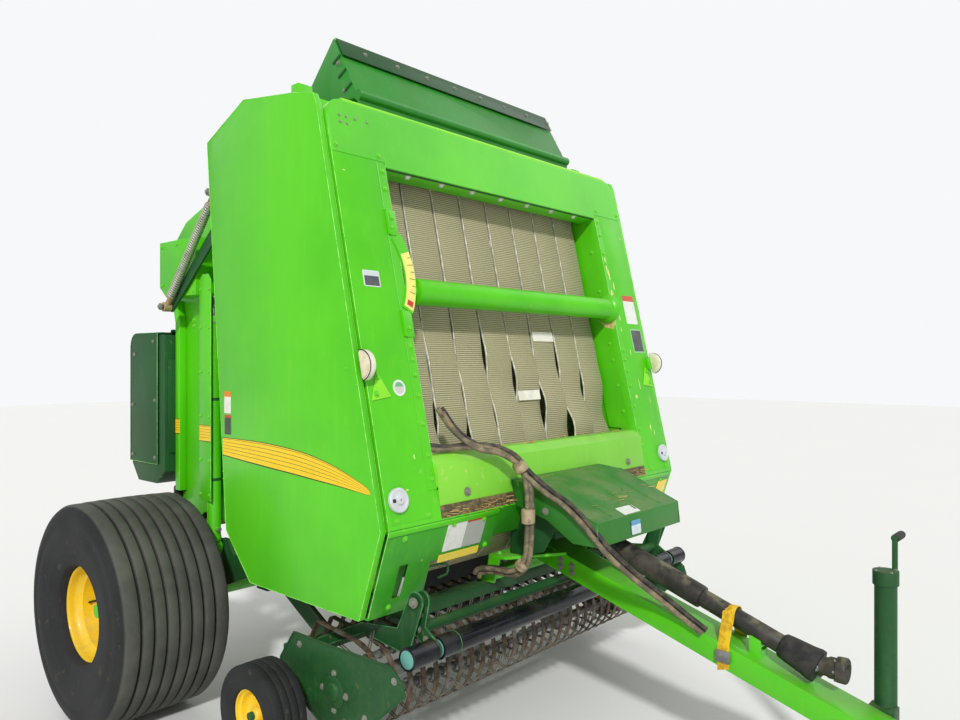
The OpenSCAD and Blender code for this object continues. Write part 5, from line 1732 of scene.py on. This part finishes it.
def buildSprings():
    top, low = Vector((0, *spring["top"])), Vector((0, *spring["low"]))
    way = (low - top).normalized()
    length = (low - top).length
    lean = way.to_track_quat("Z", "Y").to_euler()
    for name, side in sides:
        start = top + way * 62
        place = spot(side * spring["x"], start.y, start.z)
        stand = ["springs"] if side < 0 else []
        grown("spring_" + name, meshOf("springSeed", [(0, 0, 0)], []), "coil", "spring", *stand, smooth=60,
              Radius=spring["r"] / 1000, Turns=float(spring["turns"]), Length=(length - 128) / 1000,
              Wire=spring["wire"] / 1000, Place=tuple(place), Lean=tuple(lean))
        ends = Shape()
        out = Vector((side * spring["x"], 0, 0))
        for centre, s in ((top, 1), (low, -1)):
            ends.turned(out + centre + way * s * 22, way * s,
                        [(0, 12), (2, 14), (34, 14), (40, 19), (52, 19.5), (54, 16)], 20)
            ends.turned(out + centre - Vector((20, 0, 0)), (1, 0, 0), [(0, 22), (2, 25), (38, 25), (40, 22)],
                        24)
        ends.made("spring_ends_" + name, "clevis", smooth=40)
        sideBolts("spring_pins_" + name, side * (spring["x"] + 34), (spring["top"], spring["low"]), 12,
                  "bolt")


buildSprings()

# how far out the gate's walls, its belt guards and its boxes and lid stand
gateOut, guardOut, boxOut = 811, 916, 915


def roundedBlock(shape, x, z, levels):
    # rounded rectangles in x and z stacked along y: (y, width, height, corner)
    return shape.skin([[(x + a, y, z + b) for a, b in roundRect(wide, high, corner, 5)]
                       for y, wide, high, corner in levels])


def buildTailLamps():
    z = 980
    for name, side in sides:
        x = side * 806
        base = roundedBlock(Shape(), x, z, [(1930.6, 88, 88, 16), (1944, 88, 88, 16), (1946, 84, 84, 14)])
        base.made("tail_base_" + name, "black", *(["tail_lamps"] if side < 0 else []), body="gate",
                  slot="red_lamp")
        lens = roundedBlock(Shape(), x, z, [(1945, 82, 82, 14), (1956, 82, 82, 14), (1961, 76, 76, 12),
                                            (1963.6, 58, 58, 8)])
        lens.made("tail_lens_" + name, "red", smooth=50, body="gate")
        boltsAt("tail_screws_" + name, [(x, 1963, z + s * 32) for s in (-1, 1)], (0, 1, 0), 3, "bolt", 8,
                body="gate")


def buildGateTrim():
    for name, side in sides:
        plate("stripe_guard_" + name, (side * guardOut, 1507, 1334), (0, side, 0), (0, 0, 1), (106, 82),
              "stripe", 1, 0.8, body="gate")
        plate("stripe_rib_" + name, (side * (gateOut + 40), 1905, 1344), (0, side, 0), (0, 0, 1), (46, 82),
              "stripe", 1, 0.8, body="gate")
        for tag, x, radius, count, spots in (
                ("guard_rivets_", guardOut, 6, 10, [(y, z) for y in (1466, 1548)
                                                    for z in (1030, 1200, 1420, 1640, 1860, 2050)]),
                ("gate_box_bolts_", boxOut, 8, 6, ((1622, 2052), (1622, 2302), (1952, 2302), (1952, 2094),
                                                   (1790, 2052), (1790, 2302))),
                ("gate_wall_bolts_", gateOut, 9, 6, (
                    (1800, 860), (1760, 860), (1840, 860), (1800, 1910), (1800, 1880), (1480, 2480),
                    (1445, 2480), (1515, 2480), (1700, 1100), (1700, 1700), (1300, 1100), (1300, 1500),
                    (1300, 1900), (1290, 2560), (1180, 2620)))):
            sideBolts(tag + name, side * x, spots, radius, "boltPaint", count, body="gate")
        # pale lines along the gate's and guards' edges: painted highlights and rubbed paint
        edge = [(1930, 1002), (1930, 1900), (1984, 2080), (1984, 2358)]
        tubeAlong("gate_edge_" + name, [(side * (gateOut + 0.2), y - 1, z) for y, z in edge], 1.4, "paleEdgeHighlightAndWear",
                  sides=6, body="gate")
        tubeAlong("guard_edge_" + name,
                  [(side * guardOut, y, z) for y, z in ((1453, 1001), (1453, 2094), (1479, 2125),
                                                        (1529, 2125), (1561, 2096))], 1.3, "paleEdgeHighlightAndWear",
                  sides=6, body="gate")
        swell = Shape().skin([[(side * (boxOut + lift), 1760 + y, 2180 + z)
                               for y, z in roundRect(240 - inset, 180 - inset, 24)]
                              for inset, lift in ((0, -1), (14, 0.9))])
        swell.made("gate_box_swell_" + name, "paint", smooth=50, body="gate")


cylinder = {"x": 870, "y": 1500, "foot": 796, "gland": 1883, "eye": 1990}


def buildCylinderTrim():
    for name, side in sides:
        x, y, z = side * cylinder["x"], cylinder["y"], cylinder["foot"]
        gland = Shape().turned((x, y, cylinder["gland"]), (0, 0, 1),
                               [(0, 34), (0.5, 36.4), (8, 36.4), (9, 35.4), (34, 35.4), (35, 36.4),
                                (43, 36.2), (43.6, 33), (43.8, 24)], 32)
        gland.made("cylinder_gland_" + name, "steel", smooth=40, body="barrel_" + name, slot="green_paint")
        port = Shape().turned((x, y - 44, z + 60), (0, -1, 0), [(0, 12), (9, 12), (10, 9), (10.6, 5)], 6)
        port.made("cylinder_port_" + name, "steel", smooth=30, body="barrel_" + name, slot="green_paint")
        for k, h in enumerate((300, 700)):
            band = Shape().turned((x, y, z + h), (0, 0, 1), [(0, 32), (0.5, 33.8), (15, 33.8), (15.5, 32)],
                                  32)
            band.made("cylinder_band_%s_%d" % (name, k + 1), "dark", smooth=40, body="barrel_" + name)
        nut = Shape().turned((x + side * 33, y, cylinder["eye"]), (side, 0, 0),
                             [(-2, 24), (0, 25), (0.8, 24)], 6)
        nut.made("cylinder_eye_nut_" + name, "bolt", smooth=30, body="rod_" + name, slot="rod_chrome")


def buildNetTrim():
    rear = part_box("net_lid")[1].y * 1000 - foldY * 1000
    for name, side in sides:
        x = side * boxOut
        spots = [(2030, 1170), (2290, 1170), (2290, 1450), (2270, 1730), (2050, 1800), (2030, 1480)]
        sideBolts("lid_bolts_" + name, x, spots, 7, "bolt", 10, body="lid")
        # pale lines along the lid's edges: painted highlights and rubbed paint
        tubeAlong("lid_edge_" + name, [(x, 2004, 1846), (x, 2004, 1136), (x, rear - 1, 1136)], 1.3,
                  "paleEdgeHighlightAndWear", sides=6, body="lid")
        tubeAlong("lid_corner_" + name, [(x, rear - 1.3, 1137), (x, rear - 1.3, 1776), (x, rear - 22, 1827),
                                         (x, rear - 72, 1847), (x, 1966, 1847)], 1.3, "edgeDark", sides=6,
                  body="lid")
        sideBolts("net_ear_bolts_" + name, side * 832, [(1947, 1800)], 6, "bolt", body="gate")
    ribs = Shape()
    for x in (-620, -310, 0, 310, 620):
        ribs.skin([[(x + dx, rear - 0.4 + h, z) for dx, h in ((-30, 0.0), (-22, 0.38), (22, 0.38), (30, 0.0))]
                   for z in (1180, 1740)])
    ribs.made("lid_ribs", "dark", smooth=60, body="lid")


jack = {"x": 150, "y": -1330, "top": 939}


def buildTongueTrim():
    for name, side in sides:
        spots = [(y, tongueTop(y) - h) for y, h in ((-1290, 30), (-1290, 66), (-1360, 30), (-1360, 66),
                                                    (-120, 34), (-120, 64), (-60, 34), (-60, 64))]
        sideBolts("tongue_bolts_" + name, side * 80, spots, 10, "bolt")
        boltsAt("cheek_bolts_" + name, [(side * x0, y, 847) for x0, y in ((140, 60), (220, 90), (290, 120))],
                (0, 0, 1), 10, "boltPaint")
    x, y, top = jack["x"], jack["y"], jack["top"]
    grip = Shape().turned((x + 126, y, top + 94), (1, 0, 0),
                          [(0, 12), (2, 15), (84, 15.5), (95, 14), (98.6, 11)], 20)
    grip.made("jack_grip", "black", smooth=50, slot="dark_steel")
    cap = Shape().turned((x, y, top), (0, 0, 1), [(-2, 44), (0.6, 43), (0.95, 30)], 32)
    cap.made("jack_cap", "dark", smooth=50, slot="dark_paint")
    boltsAt("jack_bolts", [(x + 38 * math.cos(a), y + 38 * math.sin(a), top + 0.5)
                           for a in (0.8, 2.4, 3.9, 5.5)], (0, 0, 1), 4, "bolt", 8)


buildTailLamps()
buildGateTrim()
buildCylinderTrim()
buildNetTrim()
buildTongueTrim()
print("gate, net box and tongue dressed")


def buildFloor():
    b = Board("floorPaint")
    colour = b.mix(b.noise(0.8, 4.0) * 0.2, (0.78, 0.78, 0.76, 1), (0.7, 0.7, 0.69, 1))
    b.done(Base_Color=colour, Roughness=0.85)
    plane = bmesh.new()
    bmesh.ops.create_grid(plane, x_segments=1, y_segments=1, size=30)
    mesh = bpy.data.meshes.new("floor")
    plane.to_mesh(mesh)
    plane.free()
    mesh.materials.append(b.material)
    floor = bpy.data.objects.new("floor", mesh)
    bpy.context.scene.collection.objects.link(floor)


def buildLight():
    world = bpy.data.worlds.new("studio")
    bpy.context.scene.world = world
    world.use_nodes = True
    # the camera and see-through parts meet a brighter sky than the light that falls on the machine
    sky = Patch()
    sky.tree = world.node_tree
    sky.tree.nodes.clear()
    lit = sky.add("ShaderNodeBackground", {}, {"Color": (1, 1, 1, 1), "Strength": 0.55})
    seen = sky.add("ShaderNodeBackground", {}, {"Color": (0.93, 0.94, 0.95, 1), "Strength": 1.0})
    direct = sky.add("ShaderNodeLightPath", {}, {}, "Is Camera Ray")
    passed = sky.add("ShaderNodeLightPath", {}, {}, "Is Transmission Ray")
    both = sky.add("ShaderNodeMixShader", {}, {0: direct.atLeast(passed), 1: lit, 2: seen})
    sky.add("ShaderNodeOutputWorld", {}, {0: both}, None)
    for name, direction, strength, softness in (("key", (-0.66, -0.62, 0.60), 2.5, 4),
                                                ("fill", (0.9, -0.3, 0.7), 0.45, 40),
                                                ("back", (0.2, 0.9, 0.6), 0.5, 40)):
        sun = bpy.data.lights.new(name, "SUN")
        sun.energy = strength
        sun.angle = math.radians(softness)
        lamp = bpy.data.objects.new(name, sun)
        lamp.rotation_euler = Vector(direction).to_track_quat("Z", "Y").to_euler()
        bpy.context.scene.collection.objects.link(lamp)
    bpy.context.scene.view_settings.view_transform = "Standard"


buildFloor()
buildLight()
print("floor and light set")

print("all pieces made")
